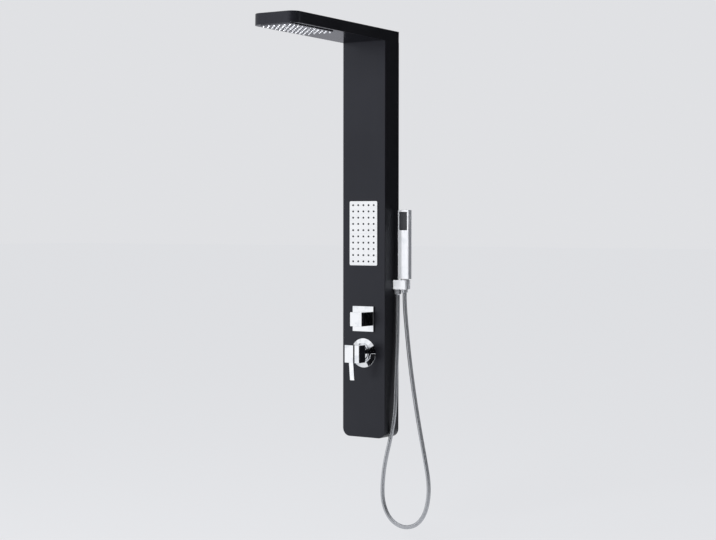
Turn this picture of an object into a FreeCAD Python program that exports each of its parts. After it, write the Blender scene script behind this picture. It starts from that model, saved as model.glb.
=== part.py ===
"""Shower panel column with an overhead rain arm, body jets, mixer, diverter and hand shower.

Frame: X runs across the column (right is +X), the wall is the plane Y = 0 and the column
stands out of it along -Y, Z is up. The origin is the middle of the wall fixing holes.
All lengths are millimetres. Heights named *_UP are measured from the column's lower end.
"""
import FreeCAD
import Part
import math
import os

# ---- column and arm ---------------------------------------------------------------------
COLUMN_WIDTH = 164.0
COLUMN_DEPTH = 78.0
PANEL_HEIGHT = 1300.0
COLUMN_FOOT_RADIUS = 26.0
SHEET = 2.0
EDGE_ROUND = 1.6
ARM_REACH = 553.0
ARM_THICKNESS = 35.0
ARM_TIP_RADIUS = 29.0
ARM_RISE = 14.1
WALL_RELIEF = 1.2
FIT = 0.1
SLIDE_GAP = 0.3

# ---- wall fixing ------------------------------------------------------------------------
FIXING_SPAN_X = 100.0
FIXING_INSET_Z = 70.0
FIXING_HOLE = 6.5
BRACKET_LENGTH = 124.0
BRACKET_HEIGHT = 40.0
BRACKET_SHEET = 2.5
BRACKET_STAND_OFF = 12.5
HOOK_RISE = 12.0
HANGER_SHEET = 2.0
HANGER_HEIGHT = 30.0
HANGER_TAB = 22.0
HOOK_LIP = 9.0
GUSSET_ARM = 70.0
GUSSET_DROP = 70.0
GUSSET_WIDTH = 30.0
GUSSET_SHEET = 2.5

# ---- rain head --------------------------------------------------------------------------
UNDERPLATE_SHEET = 1.5
RAIN_CENTRE = 433.0
RAIN_WIDTH = 124.0
RAIN_LENGTH = 216.0
RAIN_CORNER = 12.0
RAIN_PROUD = 2.6
RAIN_SKIN = 1.0
RAIN_RIM = 1.5
RAIN_PITCH = 20.0
RAIN_COLUMNS = 6
RAIN_ROWS = 11
NOZZLE_ROOT = 6.4
NOZZLE_TIP = 5.0
NOZZLE_BORE = 1.8
NOZZLE_LENGTH = 4.0
MAT_SHEET = 1.3
CHAMBER_MARGIN = 6.0
CHAMBER_WALL = 2.5
CHAMBER_HEIGHT = 22.0
CHAMBER_FLANGE = 10.0
CHAMBER_FLANGE_SHEET = 2.5
CHAMBER_SCREW = 3.0
CHAMBER_SCREW_HEAD = 6.0
CHAMBER_SCREW_HEAD_HEIGHT = 2.2
RAIN_INLET_HEIGHT = 13.8
RAIN_INLET_LENGTH = 20.0

# ---- body jets --------------------------------------------------------------------------
JET_UP = 655.0
JET_WIDTH = 108.0
JET_HEIGHT = 206.0
JET_CORNER = 5.0
JET_PROUD = 3.0
JET_PITCH = 20.0
JET_COLUMNS = 5
JET_ROWS = 10
JET_WINDOW_WIDTH = 90.0
JET_WINDOW_HEIGHT = 190.0
JET_NOZZLE_LENGTH = 4.8
JET_STUD = 4.0
JET_STUD_LENGTH = 7.5
JET_NUT = 7.0
JET_NUT_HEIGHT = 3.0
JET_FLANGE = 7.5
JET_FLANGE_SHEET = 2.5
JET_BOX_DEPTH = 21.0
JET_BOX_WALL = 2.0
JET_INLET_X = -30.0
JET_INLET_DEPTH = 12.5
JET_INLET_LENGTH = 15.0

# ---- water connections inside the column --------------------------------------------------
PORT_DIAMETER = 15.0
PORT_BORE = 9.0
PORT_DEPTH = 50.0
GALLERY_PAST_PORT = 1.5
FEED_DIAMETER = 14.0
FEED_BORE = 9.0
UNION_ACROSS = 20.0
UNION_LENGTH = 14.0

# ---- diverter -----------------------------------------------------------------------------
DIVERTER_ABOVE_MIXER = 109.5
DIVERTER_PLATE = 81.0
DIVERTER_PLATE_SHEET = 5.0
DIVERTER_NOSE = 28.0
DIVERTER_NOSE_LENGTH = 16.0
DIVERTER_BORE = 23.0
DIVERTER_BARREL = 36.0
DIVERTER_BARREL_DEPTH = 38.0
DIVERTER_FLANGE = 46.0
DIVERTER_NUT = 36.0
DIVERTER_NUT_HEIGHT = 4.0
DIVERTER_PORT_LENGTH = 14.0
DIVERTER_DISC = 19.2
DIVERTER_DISC_HEIGHT = 4.0
DIVERTER_STEM = 8.0
DIVERTER_NECK = 13.0
DIVERTER_NECK_LENGTH = 3.5
KNOB_SIZE = 45.0
KNOB_PROUD = 45.0
KNOB_GAP = 1.5
KNOB_WALL = 3.0
KNOB_FACE = 5.0
KNOB_BOSS = 16.0
KNOB_BOSS_GAP = 2.5
KNOB_SOCKET_DEPTH = 16.0
KNOB_SCREW = 4.0

# ---- mixer --------------------------------------------------------------------------------
MIXER_UP = 271.5
MIXER_PLATE = 94.0
MIXER_PLATE_SHEET = 7.0
MIXER_PLATE_EDGE = 2.5
MIXER_PLATE_CROWN = 66.0
MIXER_NUT = 60.0
MIXER_NUT_HEIGHT = 6.0
MIXER_NOSE = 46.0
MIXER_NOSE_LENGTH = 23.0
MIXER_FLANGE = 60.0
MIXER_BARREL = 50.0
MIXER_BARREL_DEPTH = 38.0
MIXER_INLET_SPACING = 38.0
MIXER_INLET_LENGTH = 18.0
MIXER_OUTLET_LENGTH = 14.0
PIVOT_PROUD = 10.0
SLEEVE_RADIUS = 28.0
SLEEVE_WALL = 2.0
SLEEVE_FOOT = 65.0
SLEEVE_FOOT_HEIGHT = 3.0
SLEEVE_OPENING = 28.0
CARTRIDGE = 36.0
CARTRIDGE_LENGTH = 29.0
CARTRIDGE_CAVITY = 31.0
CARTRIDGE_FLOOR = 5.0
CARTRIDGE_FLANGE = 41.4
CARTRIDGE_FLANGE_HEIGHT = 3.0
CARTRIDGE_NUT_BORE = 30.0
CARTRIDGE_NUT_HEIGHT = 5.7
FIXED_DISC_HEIGHT = 3.8
SLIDE_DISC = 23.0
SLIDE_DISC_HEIGHT = 9.8
SLIDE_POCKET_DEPTH = 4.6
DISC_FILM = 0.2
CARRIER_HEIGHT = 10.5
CARRIER_GAP = 1.0
STEM_EYE = 12.0
STEM_SHAFT = 8.0
STEM_TAIL = 5.0
STEM_NECK = 3.2
STEM_TAIL_REACH = 9.5
STEM_PIN = 3.0
PIN_PLAY = 0.05
HANDLE_SIZE = 56.0
HANDLE_PROUD = 67.0
HANDLE_DEPTH = 35.0
HANDLE_WALL = 4.0
HANDLE_FACE = 6.0
HANDLE_BOSS = 20.0
HANDLE_DOME_GAP = 0.8
HANDLE_SOCKET_DEPTH = 14.0
HANDLE_SCREW = 5.0
LEVER_WIDTH = 16.5
LEVER_SHEET = 4.0
LEVER_DROP = 55.5
LEVER_SET_BACK = 6.0

# ---- supply hoses ---------------------------------------------------------------------------
SUPPLY_SPACING = 80.0
SUPPLY_ABOVE_FIXING = 60.0
SUPPLY_NUT = 25.0
SUPPLY_NUT_LENGTH = 14.0
SUPPLY_THREAD = 21.0
SUPPLY_THREAD_LENGTH = 10.0
SUPPLY_NUT_OFFSET = 3.0

# ---- hand shower holder -------------------------------------------------------------------
HOLDER_UP = 491.0
HOLDER_LENGTH = 47.0
HOLDER_DEPTH = 29.0
HOLDER_HEIGHT = 30.0
HOLDER_WALL_GAP = 6.0
HOLDER_SLOT = 15.0
HOLDER_CRADLE = 34.8
HOLDER_ROUND = 1.5
OUTLET_OFFSET = 8.5
OUTLET_SPIGOT = 16.6
OUTLET_SPIGOT_LENGTH = 12.0
SHANK = 18.0
SHANK_BORE = 10.0
SHANK_INSIDE = 19.0
SHANK_SOCKET = 5.0
SHANK_WASHER = 28.0
SHANK_WASHER_SHEET = 2.0
LOCKNUT_ACROSS = 26.0
LOCKNUT_HEIGHT = 5.0
ELBOW_LENGTH = 24.0
ELBOW_DIAMETER = 24.0
ELBOW_DROP = 28.0

# ---- hand shower ----------------------------------------------------------------------------
HANDSET_WIDTH = 41.0
HANDSET_DEPTH = 19.3
HANDSET_LENGTH = 220.0
HANDSET_EDGE = 2.5
HANDSET_WALL = 2.5
SPRAY_WIDTH = 30.0
SPRAY_HEIGHT = 59.0
SPRAY_FROM_TOP = 6.0
SPRAY_RECESS = 3.0
SPRAY_RIM = 2.0
SPRAY_PITCH = 6.4
SPRAY_COLUMNS = 4
SPRAY_ROWS = 8
SPRAY_NOZZLE = 2.4
SPRAY_NOZZLE_TIP = 1.6
SPRAY_NOZZLE_LENGTH = 0.9
NIPPLE = 20.4
NIPPLE_LENGTH = 11.0
NIPPLE_SOCKET = 4.0
NIPPLE_BORE = 11.0
CONE_NUT_COLLAR = 27.0
CONE_NUT_COLLAR_HEIGHT = 3.5
CONE_NUT_TOP = 23.6
CONE_NUT_FOOT = 19.0
CONE_NUT_LENGTH = 40.0
TAIL_FLANGE = 19.6
TAIL_FLANGE_HEIGHT = 2.0
TAIL_DIAMETER = 12.2
TAIL_BORE = 8.0
WASHER_SHEET = 2.0
COUPLING_GAP = 0.3

# ---- shower hose ------------------------------------------------------------------------------
HOSE_DIAMETER = 13.5
HOSE_NUT_ACROSS = 19.0
HOSE_NUT_LENGTH = 16.0
HOSE_NUT_THREAD_DEPTH = 10.0
ARC_SHARE = 0.45

# ---- places worked out from the sizes ---------------------------------------------------------
HALF_WIDTH = COLUMN_WIDTH / 2
INNER_SIDE = HALF_WIDTH - SHEET
FRONT = -COLUMN_DEPTH
FRONT_INNER = FRONT + SHEET
BASE_Z = -PANEL_HEIGHT / 2
DIVERTER_UP = MIXER_UP + DIVERTER_ABOVE_MIXER
SUPPLY_UP = FIXING_INSET_Z + SUPPLY_ABOVE_FIXING
ARM_SLOPE = math.degrees(math.asin(ARM_RISE / ARM_REACH))
ARM_UNDERSIDE_UP = PANEL_HEIGHT - ARM_THICKNESS
PORT_Y = -PORT_DEPTH
PIVOT_Y = FRONT - PIVOT_PROUD
HEX_CORNER = 1 / math.cos(math.radians(30))


def up(height):
    """Turn a height above the column's lower end into Z."""
    return BASE_Z + height


def vec(x, y, z):
    return FreeCAD.Vector(x, y, z)


AXIS_X = vec(1, 0, 0)
AXIS_Y = vec(0, 1, 0)
AXIS_Z = vec(0, 0, 1)


def box(x0, x1, y0, y1, z0, z1):
    return Part.makeBox(x1 - x0, y1 - y0, z1 - z0, vec(x0, y0, z0))


def rod_x(diameter, x0, x1, y, z):
    return Part.makeCylinder(diameter / 2, x1 - x0, vec(x0, y, z), AXIS_X)


def rod_y(diameter, y0, y1, x, z):
    return Part.makeCylinder(diameter / 2, y1 - y0, vec(x, y0, z), AXIS_Y)


def rod_z(diameter, z0, z1, x, y):
    return Part.makeCylinder(diameter / 2, z1 - z0, vec(x, y, z0), AXIS_Z)


def cone_z(lower, upper, z0, z1, x, y):
    """A cone between two diameters, standing along Z."""
    if abs(lower - upper) < FIT / 10:
        return rod_z(lower, z0, z1, x, y)
    return Part.makeCone(lower / 2, upper / 2, z1 - z0, vec(x, y, z0), AXIS_Z)


def join(shapes):
    """Fuse a list of touching shapes into one clean solid."""
    return shapes[0].multiFuse(shapes[1:]).removeSplitter()


def cut_all(shape, tools):
    return shape.cut(Part.makeCompound(tools))


def group(shapes):
    return Part.makeCompound(shapes)


def hexagon(across, length, start, direction):
    """A hexagonal prism, measured across its flats."""
    normal = FreeCAD.Vector(direction)
    other = normal.cross(AXIS_Z if abs(normal.z) < abs(normal.x) + abs(normal.y) else AXIS_X)
    other.normalize()
    side = other.cross(normal)
    corners = []
    for step in range(6):
        angle = math.radians(60 * step + 30)
        reach = across / 2 * HEX_CORNER
        corners.append(start + side * (reach * math.cos(angle)) + other * (reach * math.sin(angle)))
    outline = Part.makePolygon(corners + corners[:1])
    return Part.Face(outline).extrude(normal * length)


def nut(across, bore, length, start, direction):
    body = hexagon(across, length, start, direction)
    return body.cut(Part.makeCylinder(bore / 2, 3 * length, start - direction * length, direction))


def rounded_outline(width, height, radii, centre, right, above):
    """A rectangle with four corner radii, given from lower left anticlockwise."""
    half_w = width / 2
    half_h = height / 2
    signs = [(-1, -1), (1, -1), (1, 1), (-1, 1)]
    edges = []
    places = []
    for (sx, sy), radius in zip(signs, radii):
        corner = centre + right * (sx * half_w) + above * (sy * half_h)
        inward_x = right * (-sx * radius)
        inward_y = above * (-sy * radius)
        ends = [corner + inward_y, corner + inward_x]
        if sx * sy < 0:
            ends.reverse()
        middle = corner + inward_x + inward_y - (inward_x + inward_y) * (1 / math.sqrt(2))
        places.append((ends[0], middle, ends[1], radius))
    for index, (first, middle, last, radius) in enumerate(places):
        if radius > 0:
            edges.append(Part.Arc(first, middle, last).toShape())
        following = places[(index + 1) % len(places)][0]
        edges.append(Part.LineSegment(last, following).toShape())
    return Part.Face(Part.Wire(Part.__sortEdges__(edges)))


def plate_y(width, height, radius, x, z, y0, y1):
    """A round-cornered plate facing along Y."""
    face = rounded_outline(width, height, [radius] * 4, vec(x, y0, z), AXIS_X, AXIS_Z)
    return face.extrude(vec(0, y1 - y0, 0))


def plate_z(width, length, radius, x, y, z0, z1):
    """A round-cornered plate lying flat."""
    face = rounded_outline(width, length, [radius] * 4, vec(x, y, z0), AXIS_X, AXIS_Y)
    return face.extrude(vec(0, 0, z1 - z0))


def grid(columns, rows, pitch):
    """Centred places of a rectangular pattern."""
    places = []
    for column in range(columns):
        for row in range(rows):
            places.append(((column - (columns - 1) / 2) * pitch, (row - (rows - 1) / 2) * pitch))
    return places


def soften(shape, radius, chosen):
    """Round the edges that a test picks."""
    edges = [edge for edge in shape.Edges if chosen(edge)]
    return shape.makeFillet(radius, edges)


def lies_at(edge, axis, value):
    """True when a whole edge has one coordinate equal to a value."""
    box_of = edge.BoundBox
    low, high = {"x": (box_of.XMin, box_of.XMax), "y": (box_of.YMin, box_of.YMax),
                 "z": (box_of.ZMin, box_of.ZMax)}[axis]
    return abs(low - value) < 1e-4 and abs(high - value) < 1e-4


def bent_path(points, radius_at):
    """Straight runs joined by tangent arcs, and the radii used."""
    edges = []
    radii = []
    start = points[0]
    for index in range(1, len(points) - 1):
        point = points[index]
        back = points[index - 1] - point
        ahead = points[index + 1] - point
        half_turn = (math.pi - back.getAngle(ahead)) / 2
        radius = radius_at(min(back.Length, ahead.Length), half_turn)
        radii.append(radius)
        reach = radius * math.tan(half_turn)
        back.normalize()
        ahead.normalize()
        arc_start = point + back * reach
        arc_end = point + ahead * reach
        bisector = back + ahead
        bisector.normalize()
        centre = point + bisector * (radius / math.cos(half_turn))
        arc_middle = centre - bisector * radius
        edges.append(Part.LineSegment(start, arc_start).toShape())
        edges.append(Part.Arc(arc_start, arc_middle, arc_end).toShape())
        start = arc_end
    edges.append(Part.LineSegment(start, points[-1]).toShape())
    return Part.Wire(edges), radii


def sweep(points, path, diameter):
    """A round solid along a path that starts with a straight run."""
    circle = Part.makeCircle(diameter / 2, points[0], points[1] - points[0])
    return path.makePipeShell([Part.Wire([circle])], True, False)


def feed_tube(points, bend):
    """A hollow hose along points, every bend with one radius."""
    path, _ = bent_path(points, lambda run, half_turn: bend)
    return sweep(points, path, FEED_DIAMETER).cut(sweep(points, path, FEED_BORE))


def in_arm(shape):
    """Place a shape drawn under a level arm onto the rising arm."""
    placed = shape.copy()
    placed.rotate(vec(0, 0, 0), AXIS_X, -ARM_SLOPE)
    placed.translate(vec(0, 0, up(ARM_UNDERSIDE_UP)))
    return placed


def arm_point(x, y, z):
    """Where a point of the level arm lies on the rising arm."""
    slope = math.radians(-ARM_SLOPE)
    return vec(x, y * math.cos(slope) - z * math.sin(slope),
               y * math.sin(slope) + z * math.cos(slope) + up(ARM_UNDERSIDE_UP))


# ---- column shell and arm ---------------------------------------------------------------------
def column_block(inset, y0, y1):
    """The column's outer form drawn in by an inset, with its rounded lower corners."""
    height = PANEL_HEIGHT
    radius = COLUMN_FOOT_RADIUS - inset
    centre = vec(0, y0, up(inset + height / 2))
    face = rounded_outline(COLUMN_WIDTH - 2 * inset, height, [radius, radius, 0, 0],
                           centre, AXIS_X, AXIS_Z)
    return face.extrude(vec(0, y1 - y0, 0))


def column_shell():
    outer = column_block(0, FRONT, 0)
    outer = soften(outer, EDGE_ROUND, lambda edge: lies_at(edge, "y", FRONT)
                   and edge.BoundBox.ZMin < up(PANEL_HEIGHT) - 1)
    shell = outer.cut(column_block(SHEET, FRONT_INNER, SHEET))
    above_arm = in_arm(box(-COLUMN_WIDTH, COLUMN_WIDTH, -COLUMN_DEPTH * 2, COLUMN_DEPTH,
                           0, PANEL_HEIGHT))
    mixer_z = up(MIXER_UP)
    diverter_z = up(DIVERTER_UP)
    tools = [
        above_arm,
        rod_y(MIXER_NOSE + 2 * FIT, FRONT - 1, FRONT_INNER + 1, 0, mixer_z),
        rod_y(DIVERTER_NOSE + 2 * FIT, FRONT - 1, FRONT_INNER + 1, 0, diverter_z),
        plate_y(JET_WINDOW_WIDTH, JET_WINDOW_HEIGHT, JET_CORNER, 0, up(JET_UP),
                FRONT - 1, FRONT_INNER + 1),
        rod_x(SHANK + 2 * FIT, INNER_SIDE - 1, HALF_WIDTH + 1, holder_y(), up(HOLDER_UP)),
    ]
    for x, z in stud_places():
        tools.append(rod_y(JET_STUD + 2 * FIT, FRONT - 1, FRONT_INNER + 1, x, z))
    return cut_all(shell, tools)


def arm_outline(inset, rear, z0, z1):
    """The arm seen from above, level, from its rear edge to its rounded tip."""
    length = ARM_REACH - inset + rear
    radius = ARM_TIP_RADIUS - inset
    centre = vec(0, rear - length / 2, z0)
    face = rounded_outline(COLUMN_WIDTH - 2 * inset, length, [radius, radius, 0, 0],
                           centre, AXIS_X, AXIS_Y)
    return face.extrude(vec(0, 0, z1 - z0))


def arm_shell():
    outer = arm_outline(0, -WALL_RELIEF, 0, ARM_THICKNESS)
    outer = soften(outer, EDGE_ROUND, lambda edge: lies_at(edge, "z", ARM_THICKNESS)
                   and not lies_at(edge, "y", -WALL_RELIEF))
    inner = arm_outline(SHEET, -WALL_RELIEF - SHEET, -1, ARM_THICKNESS - SHEET)
    return in_arm(outer.cut(inner))


def chamber_size():
    return RAIN_WIDTH - 2 * CHAMBER_MARGIN, RAIN_LENGTH - 2 * CHAMBER_MARGIN


def arm_underplate():
    inset = SHEET + FIT
    rear = FRONT_INNER + SHEET / 2
    plate = arm_outline(inset, rear, 0, UNDERPLATE_SHEET)
    width, length = chamber_size()
    window = plate_z(width + 2 * FIT, length + 2 * FIT, CHAMBER_MARGIN + FIT,
                     0, -RAIN_CENTRE, -1, UNDERPLATE_SHEET + 1)
    tools = [window]
    for x, y in chamber_screw_places():
        tools.append(rod_z(CHAMBER_SCREW + 2 * FIT, -1, UNDERPLATE_SHEET + 1, x, y))
    return in_arm(cut_all(plate, tools))


def corner_gussets():
    """The two gussets, one inside each side wall."""
    return group([corner_gusset(-1), corner_gusset(1)])


def corner_gusset(side):
    """An L of sheet inside a side wall that ties the arm to the column."""
    outer_x = side * (INNER_SIDE - FIT)
    inner_x = outer_x - side * GUSSET_SHEET
    low_x = min(outer_x, inner_x)
    high_x = max(outer_x, inner_x)
    rear = hanger_front() - HANGER_TAB - 1
    leg = box(low_x, high_x, rear - GUSSET_WIDTH, rear, up(ARM_UNDERSIDE_UP) - GUSSET_DROP,
              up(ARM_UNDERSIDE_UP) + GUSSET_WIDTH / 4)
    foot = in_arm(box(low_x, high_x, rear - GUSSET_ARM, rear,
                      UNDERPLATE_SHEET + 1, ARM_THICKNESS - SHEET - 1))
    return join([leg, foot])


# ---- wall fixing ----------------------------------------------------------------------------
def fixing_heights():
    """Z of the upper and the lower row of wall screws."""
    upper = PANEL_HEIGHT / 2 - FIXING_INSET_Z
    return upper, -upper


def wall_brackets():
    return group([wall_bracket(z) for z in fixing_heights()])


def hanger_bars():
    return group([hanger_bar(z) for z in fixing_heights()])


def wall_bracket(z):
    """A strip on the wall with an upturned hook along its top."""
    top = z + BRACKET_HEIGHT / 2
    half = BRACKET_LENGTH / 2
    back = box(-half, half, -BRACKET_SHEET, 0, z - BRACKET_HEIGHT / 2, top)
    shelf = box(-half, half, -BRACKET_STAND_OFF, 0, top - BRACKET_SHEET, top)
    hook = box(-half, half, -BRACKET_STAND_OFF, -BRACKET_STAND_OFF + BRACKET_SHEET,
               top - BRACKET_SHEET, top + HOOK_RISE)
    bracket = join([back, shelf, hook])
    holes = []
    for x in (-FIXING_SPAN_X / 2, FIXING_SPAN_X / 2):
        holes.append(rod_y(FIXING_HOLE, -BRACKET_SHEET - 1, 1, x, z))
    return cut_all(bracket, holes)


def hanger_front():
    """Y of the front face of a hanger bar's web."""
    return -BRACKET_STAND_OFF - SLIDE_GAP - HANGER_SHEET


def hanger_bar(z):
    """The strip across the column's back that hangs on a wall bracket."""
    hook_top = z + BRACKET_HEIGHT / 2 + HOOK_RISE
    top = hook_top + SLIDE_GAP + HANGER_SHEET
    rear = -BRACKET_STAND_OFF - SLIDE_GAP
    half = INNER_SIDE - FIT
    front = hanger_front()
    web = box(-half, half, front, rear, top - HANGER_HEIGHT, top)
    lip_front = -BRACKET_STAND_OFF + BRACKET_SHEET + SLIDE_GAP
    flange = box(-BRACKET_LENGTH / 2, BRACKET_LENGTH / 2, front, lip_front + HANGER_SHEET,
                 top - HANGER_SHEET, top)
    lip = box(-BRACKET_LENGTH / 2, BRACKET_LENGTH / 2, lip_front, lip_front + HANGER_SHEET,
              top - HOOK_LIP, top)
    tabs = []
    for x0, x1 in ((-half, -half + HANGER_SHEET), (half - HANGER_SHEET, half)):
        tabs.append(box(x0, x1, front - HANGER_TAB, rear, top - HANGER_HEIGHT, top))
    return join([web, flange, lip] + tabs)


# ---- rain head ------------------------------------------------------------------------------
def chamber_screw_places():
    width, length = chamber_size()
    x = width / 2 + CHAMBER_FLANGE / 2
    places = []
    for side in (-1, 1):
        for row in (-1, 0, 1):
            places.append((side * x, -RAIN_CENTRE + row * (length / 2 - CHAMBER_FLANGE)))
    return places


def rain_plate():
    tray = plate_z(RAIN_WIDTH, RAIN_LENGTH, RAIN_CORNER, 0, -RAIN_CENTRE, -RAIN_PROUD, 0)
    tray = soften(tray, RAIN_SKIN / 2, lambda edge: lies_at(edge, "z", -RAIN_PROUD))
    hollow = plate_z(RAIN_WIDTH - 2 * RAIN_RIM, RAIN_LENGTH - 2 * RAIN_RIM, RAIN_CORNER - RAIN_RIM,
                     0, -RAIN_CENTRE, -RAIN_PROUD + RAIN_SKIN, 1)
    tools = [hollow]
    for x, y in grid(RAIN_COLUMNS, RAIN_ROWS, RAIN_PITCH):
        tools.append(rod_z(NOZZLE_ROOT + 2 * FIT, -RAIN_PROUD - 1, 0, x, y - RAIN_CENTRE))
    return in_arm(cut_all(tray, tools))


def nozzle_mat(base, places, direction, length):
    """A silicone sheet with a hollow cone at each place, pointing one way."""
    cones = []
    bores = []
    for place in places:
        cones.append(Part.makeCone(NOZZLE_ROOT / 2, NOZZLE_TIP / 2, length, place, direction))
        start = place - direction * (2 * MAT_SHEET)
        bores.append(Part.makeCylinder(NOZZLE_BORE / 2, length + 3 * MAT_SHEET, start, direction))
    return cut_all(base.multiFuse(cones), bores)


def rain_nozzle_mat():
    floor = -RAIN_PROUD + RAIN_SKIN
    inset = RAIN_RIM + FIT
    base = plate_z(RAIN_WIDTH - 2 * inset, RAIN_LENGTH - 2 * inset, RAIN_CORNER - inset,
                   0, -RAIN_CENTRE, floor, floor + MAT_SHEET)
    places = [vec(x, y - RAIN_CENTRE, floor) for x, y in grid(RAIN_COLUMNS, RAIN_ROWS, RAIN_PITCH)]
    return in_arm(nozzle_mat(base, places, -AXIS_Z, NOZZLE_LENGTH))


def rain_chamber():
    width, length = chamber_size()
    floor = -RAIN_PROUD + RAIN_SKIN + MAT_SHEET
    outer = plate_z(width, length, CHAMBER_MARGIN, 0, -RAIN_CENTRE, floor, CHAMBER_HEIGHT)
    outer = soften(outer, CHAMBER_WALL / 2, lambda edge: lies_at(edge, "z", CHAMBER_HEIGHT))
    flange_top = UNDERPLATE_SHEET + CHAMBER_FLANGE_SHEET
    flange = plate_z(width + 2 * CHAMBER_FLANGE, length, CHAMBER_MARGIN, 0, -RAIN_CENTRE,
                     UNDERPLATE_SHEET, flange_top)
    rear = -RAIN_CENTRE + length / 2
    spigot = rod_y(PORT_DIAMETER, rear - CHAMBER_WALL, rear + RAIN_INLET_LENGTH,
                   0, RAIN_INLET_HEIGHT)
    body = join([outer, flange, spigot])
    inset = 2 * CHAMBER_WALL
    hollow = plate_z(width - inset, length - inset, CHAMBER_MARGIN - CHAMBER_WALL, 0, -RAIN_CENTRE,
                     floor - 1, CHAMBER_HEIGHT - CHAMBER_WALL)
    tools = [hollow, rod_y(PORT_BORE, rear - inset, rear + RAIN_INLET_LENGTH + 1,
                           0, RAIN_INLET_HEIGHT)]
    for x, y in chamber_screw_places():
        tools.append(rod_z(CHAMBER_SCREW + 2 * FIT, 0, flange_top + 1, x, y))
    return in_arm(cut_all(body, tools))


def rain_chamber_screws():
    head_foot = UNDERPLATE_SHEET + CHAMBER_FLANGE_SHEET
    screws = []
    for x, y in chamber_screw_places():
        shank = rod_z(CHAMBER_SCREW, 0, head_foot + FIT, x, y)
        head = rod_z(CHAMBER_SCREW_HEAD, head_foot, head_foot + CHAMBER_SCREW_HEAD_HEIGHT, x, y)
        screws.append(in_arm(join([shank, head])))
    return group(screws)


# ---- body jets ------------------------------------------------------------------------------
def stud_places():
    """The four corner studs, midway between the window's edge and the plate's."""
    x = (JET_WIDTH + JET_WINDOW_WIDTH) / 4
    z = (JET_HEIGHT + JET_WINDOW_HEIGHT) / 4
    return [(sx * x, up(JET_UP) + sz * z) for sx in (-1, 1) for sz in (-1, 1)]


def jet_places(y):
    return [vec(x, y, z + up(JET_UP)) for x, z in grid(JET_COLUMNS, JET_ROWS, JET_PITCH)]


def jet_plate():
    face_y = FRONT - JET_PROUD
    plate = plate_y(JET_WIDTH, JET_HEIGHT, JET_CORNER, 0, up(JET_UP), face_y, FRONT)
    plate = soften(plate, JET_PROUD / 4, lambda edge: lies_at(edge, "y", face_y))
    studs = []
    for x, z in stud_places():
        studs.append(rod_y(JET_STUD, FRONT, FRONT + JET_STUD_LENGTH + SHEET, x, z))
    holes = []
    for place in jet_places(face_y - 1):
        holes.append(Part.makeCylinder((NOZZLE_ROOT + 2 * FIT) / 2, JET_PROUD + 2, place, AXIS_Y))
    return cut_all(join([plate] + studs), holes)


def jet_nozzle_mat():
    base = plate_y(JET_WINDOW_WIDTH - 2 * FIT, JET_WINDOW_HEIGHT - 2 * FIT, JET_CORNER - FIT,
                   0, up(JET_UP), FRONT, FRONT_INNER)
    return nozzle_mat(base, jet_places(FRONT), -AXIS_Y, JET_NOZZLE_LENGTH)


def jet_water_box():
    z = up(JET_UP)
    width = JET_WINDOW_WIDTH
    height = JET_WINDOW_HEIGHT
    back = FRONT_INNER + JET_BOX_DEPTH
    outer = plate_y(width, height, JET_CORNER, 0, z, FRONT_INNER, back)
    flange = plate_y(width + 2 * JET_FLANGE, height + 2 * JET_FLANGE, JET_CORNER, 0, z,
                     FRONT_INNER, FRONT_INNER + JET_FLANGE_SHEET)
    spigot_y = FRONT_INNER + JET_INLET_DEPTH
    foot = z - height / 2
    spigot = rod_z(PORT_DIAMETER, foot - JET_INLET_LENGTH, foot + JET_BOX_WALL,
                   JET_INLET_X, spigot_y)
    body = join([outer, flange, spigot])
    inset = 2 * JET_BOX_WALL
    hollow = plate_y(width - inset, height - inset, JET_CORNER - JET_BOX_WALL, 0, z,
                     FRONT_INNER - 1, back - JET_BOX_WALL)
    tools = [hollow, rod_z(PORT_BORE, foot - JET_INLET_LENGTH - 1, foot + inset,
                           JET_INLET_X, spigot_y)]
    for x, stud_z in stud_places():
        tools.append(rod_y(JET_STUD + 2 * FIT, FRONT_INNER - 1, back, x, stud_z))
    return cut_all(body, tools)


def jet_nuts():
    start_y = FRONT_INNER + JET_FLANGE_SHEET
    nuts = []
    for x, z in stud_places():
        nuts.append(nut(JET_NUT, JET_STUD + 2 * FIT, JET_NUT_HEIGHT, vec(x, start_y, z), AXIS_Y))
    return group(nuts)


# ---- diverter -------------------------------------------------------------------------------
def diverter_ports():
    """The start and direction of each water port of the diverter."""
    reach = DIVERTER_BARREL / 2 + DIVERTER_PORT_LENGTH
    centre = vec(0, PORT_Y, up(DIVERTER_UP))
    return [(centre + way * reach, way) for way in (AXIS_X, -AXIS_X, AXIS_Z, -AXIS_Z)]


def gallery_end():
    """How far back the water space behind a cartridge reaches."""
    return PORT_Y + PORT_BORE / 2 + GALLERY_PAST_PORT


def disc_floor():
    """Where the diverter's fixed disc rests, at the back of the valve's bore."""
    return PORT_Y - PORT_DIAMETER / 2


def diverter_valve_body():
    z = up(DIVERTER_UP)
    rear = FRONT_INNER + DIVERTER_BARREL_DEPTH
    barrel = rod_y(DIVERTER_BARREL, FRONT_INNER, rear, 0, z)
    flange = rod_y(DIVERTER_FLANGE, FRONT_INNER, FRONT_INNER + 2 * SHEET, 0, z)
    nose_y = FRONT - DIVERTER_NOSE_LENGTH
    nose = rod_y(DIVERTER_NOSE, nose_y + SHEET, FRONT_INNER, 0, z)
    centre = vec(0, PORT_Y, z)
    spigots = []
    bores = []
    for end, way in diverter_ports():
        length = (end - centre).Length
        spigots.append(Part.makeCylinder(PORT_DIAMETER / 2, length, centre, way))
        bores.append(Part.makeCylinder(PORT_BORE / 2, length + 1, centre, way))
    body = join([barrel, flange, nose] + spigots)
    bore = rod_y(DIVERTER_BORE, nose_y - 1, disc_floor(), 0, z)
    gallery = rod_y(DIVERTER_DISC - 2 * SHEET, disc_floor() - 1,
                    gallery_end(), 0, z)
    return cut_all(body, [bore, gallery] + bores)


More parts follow.
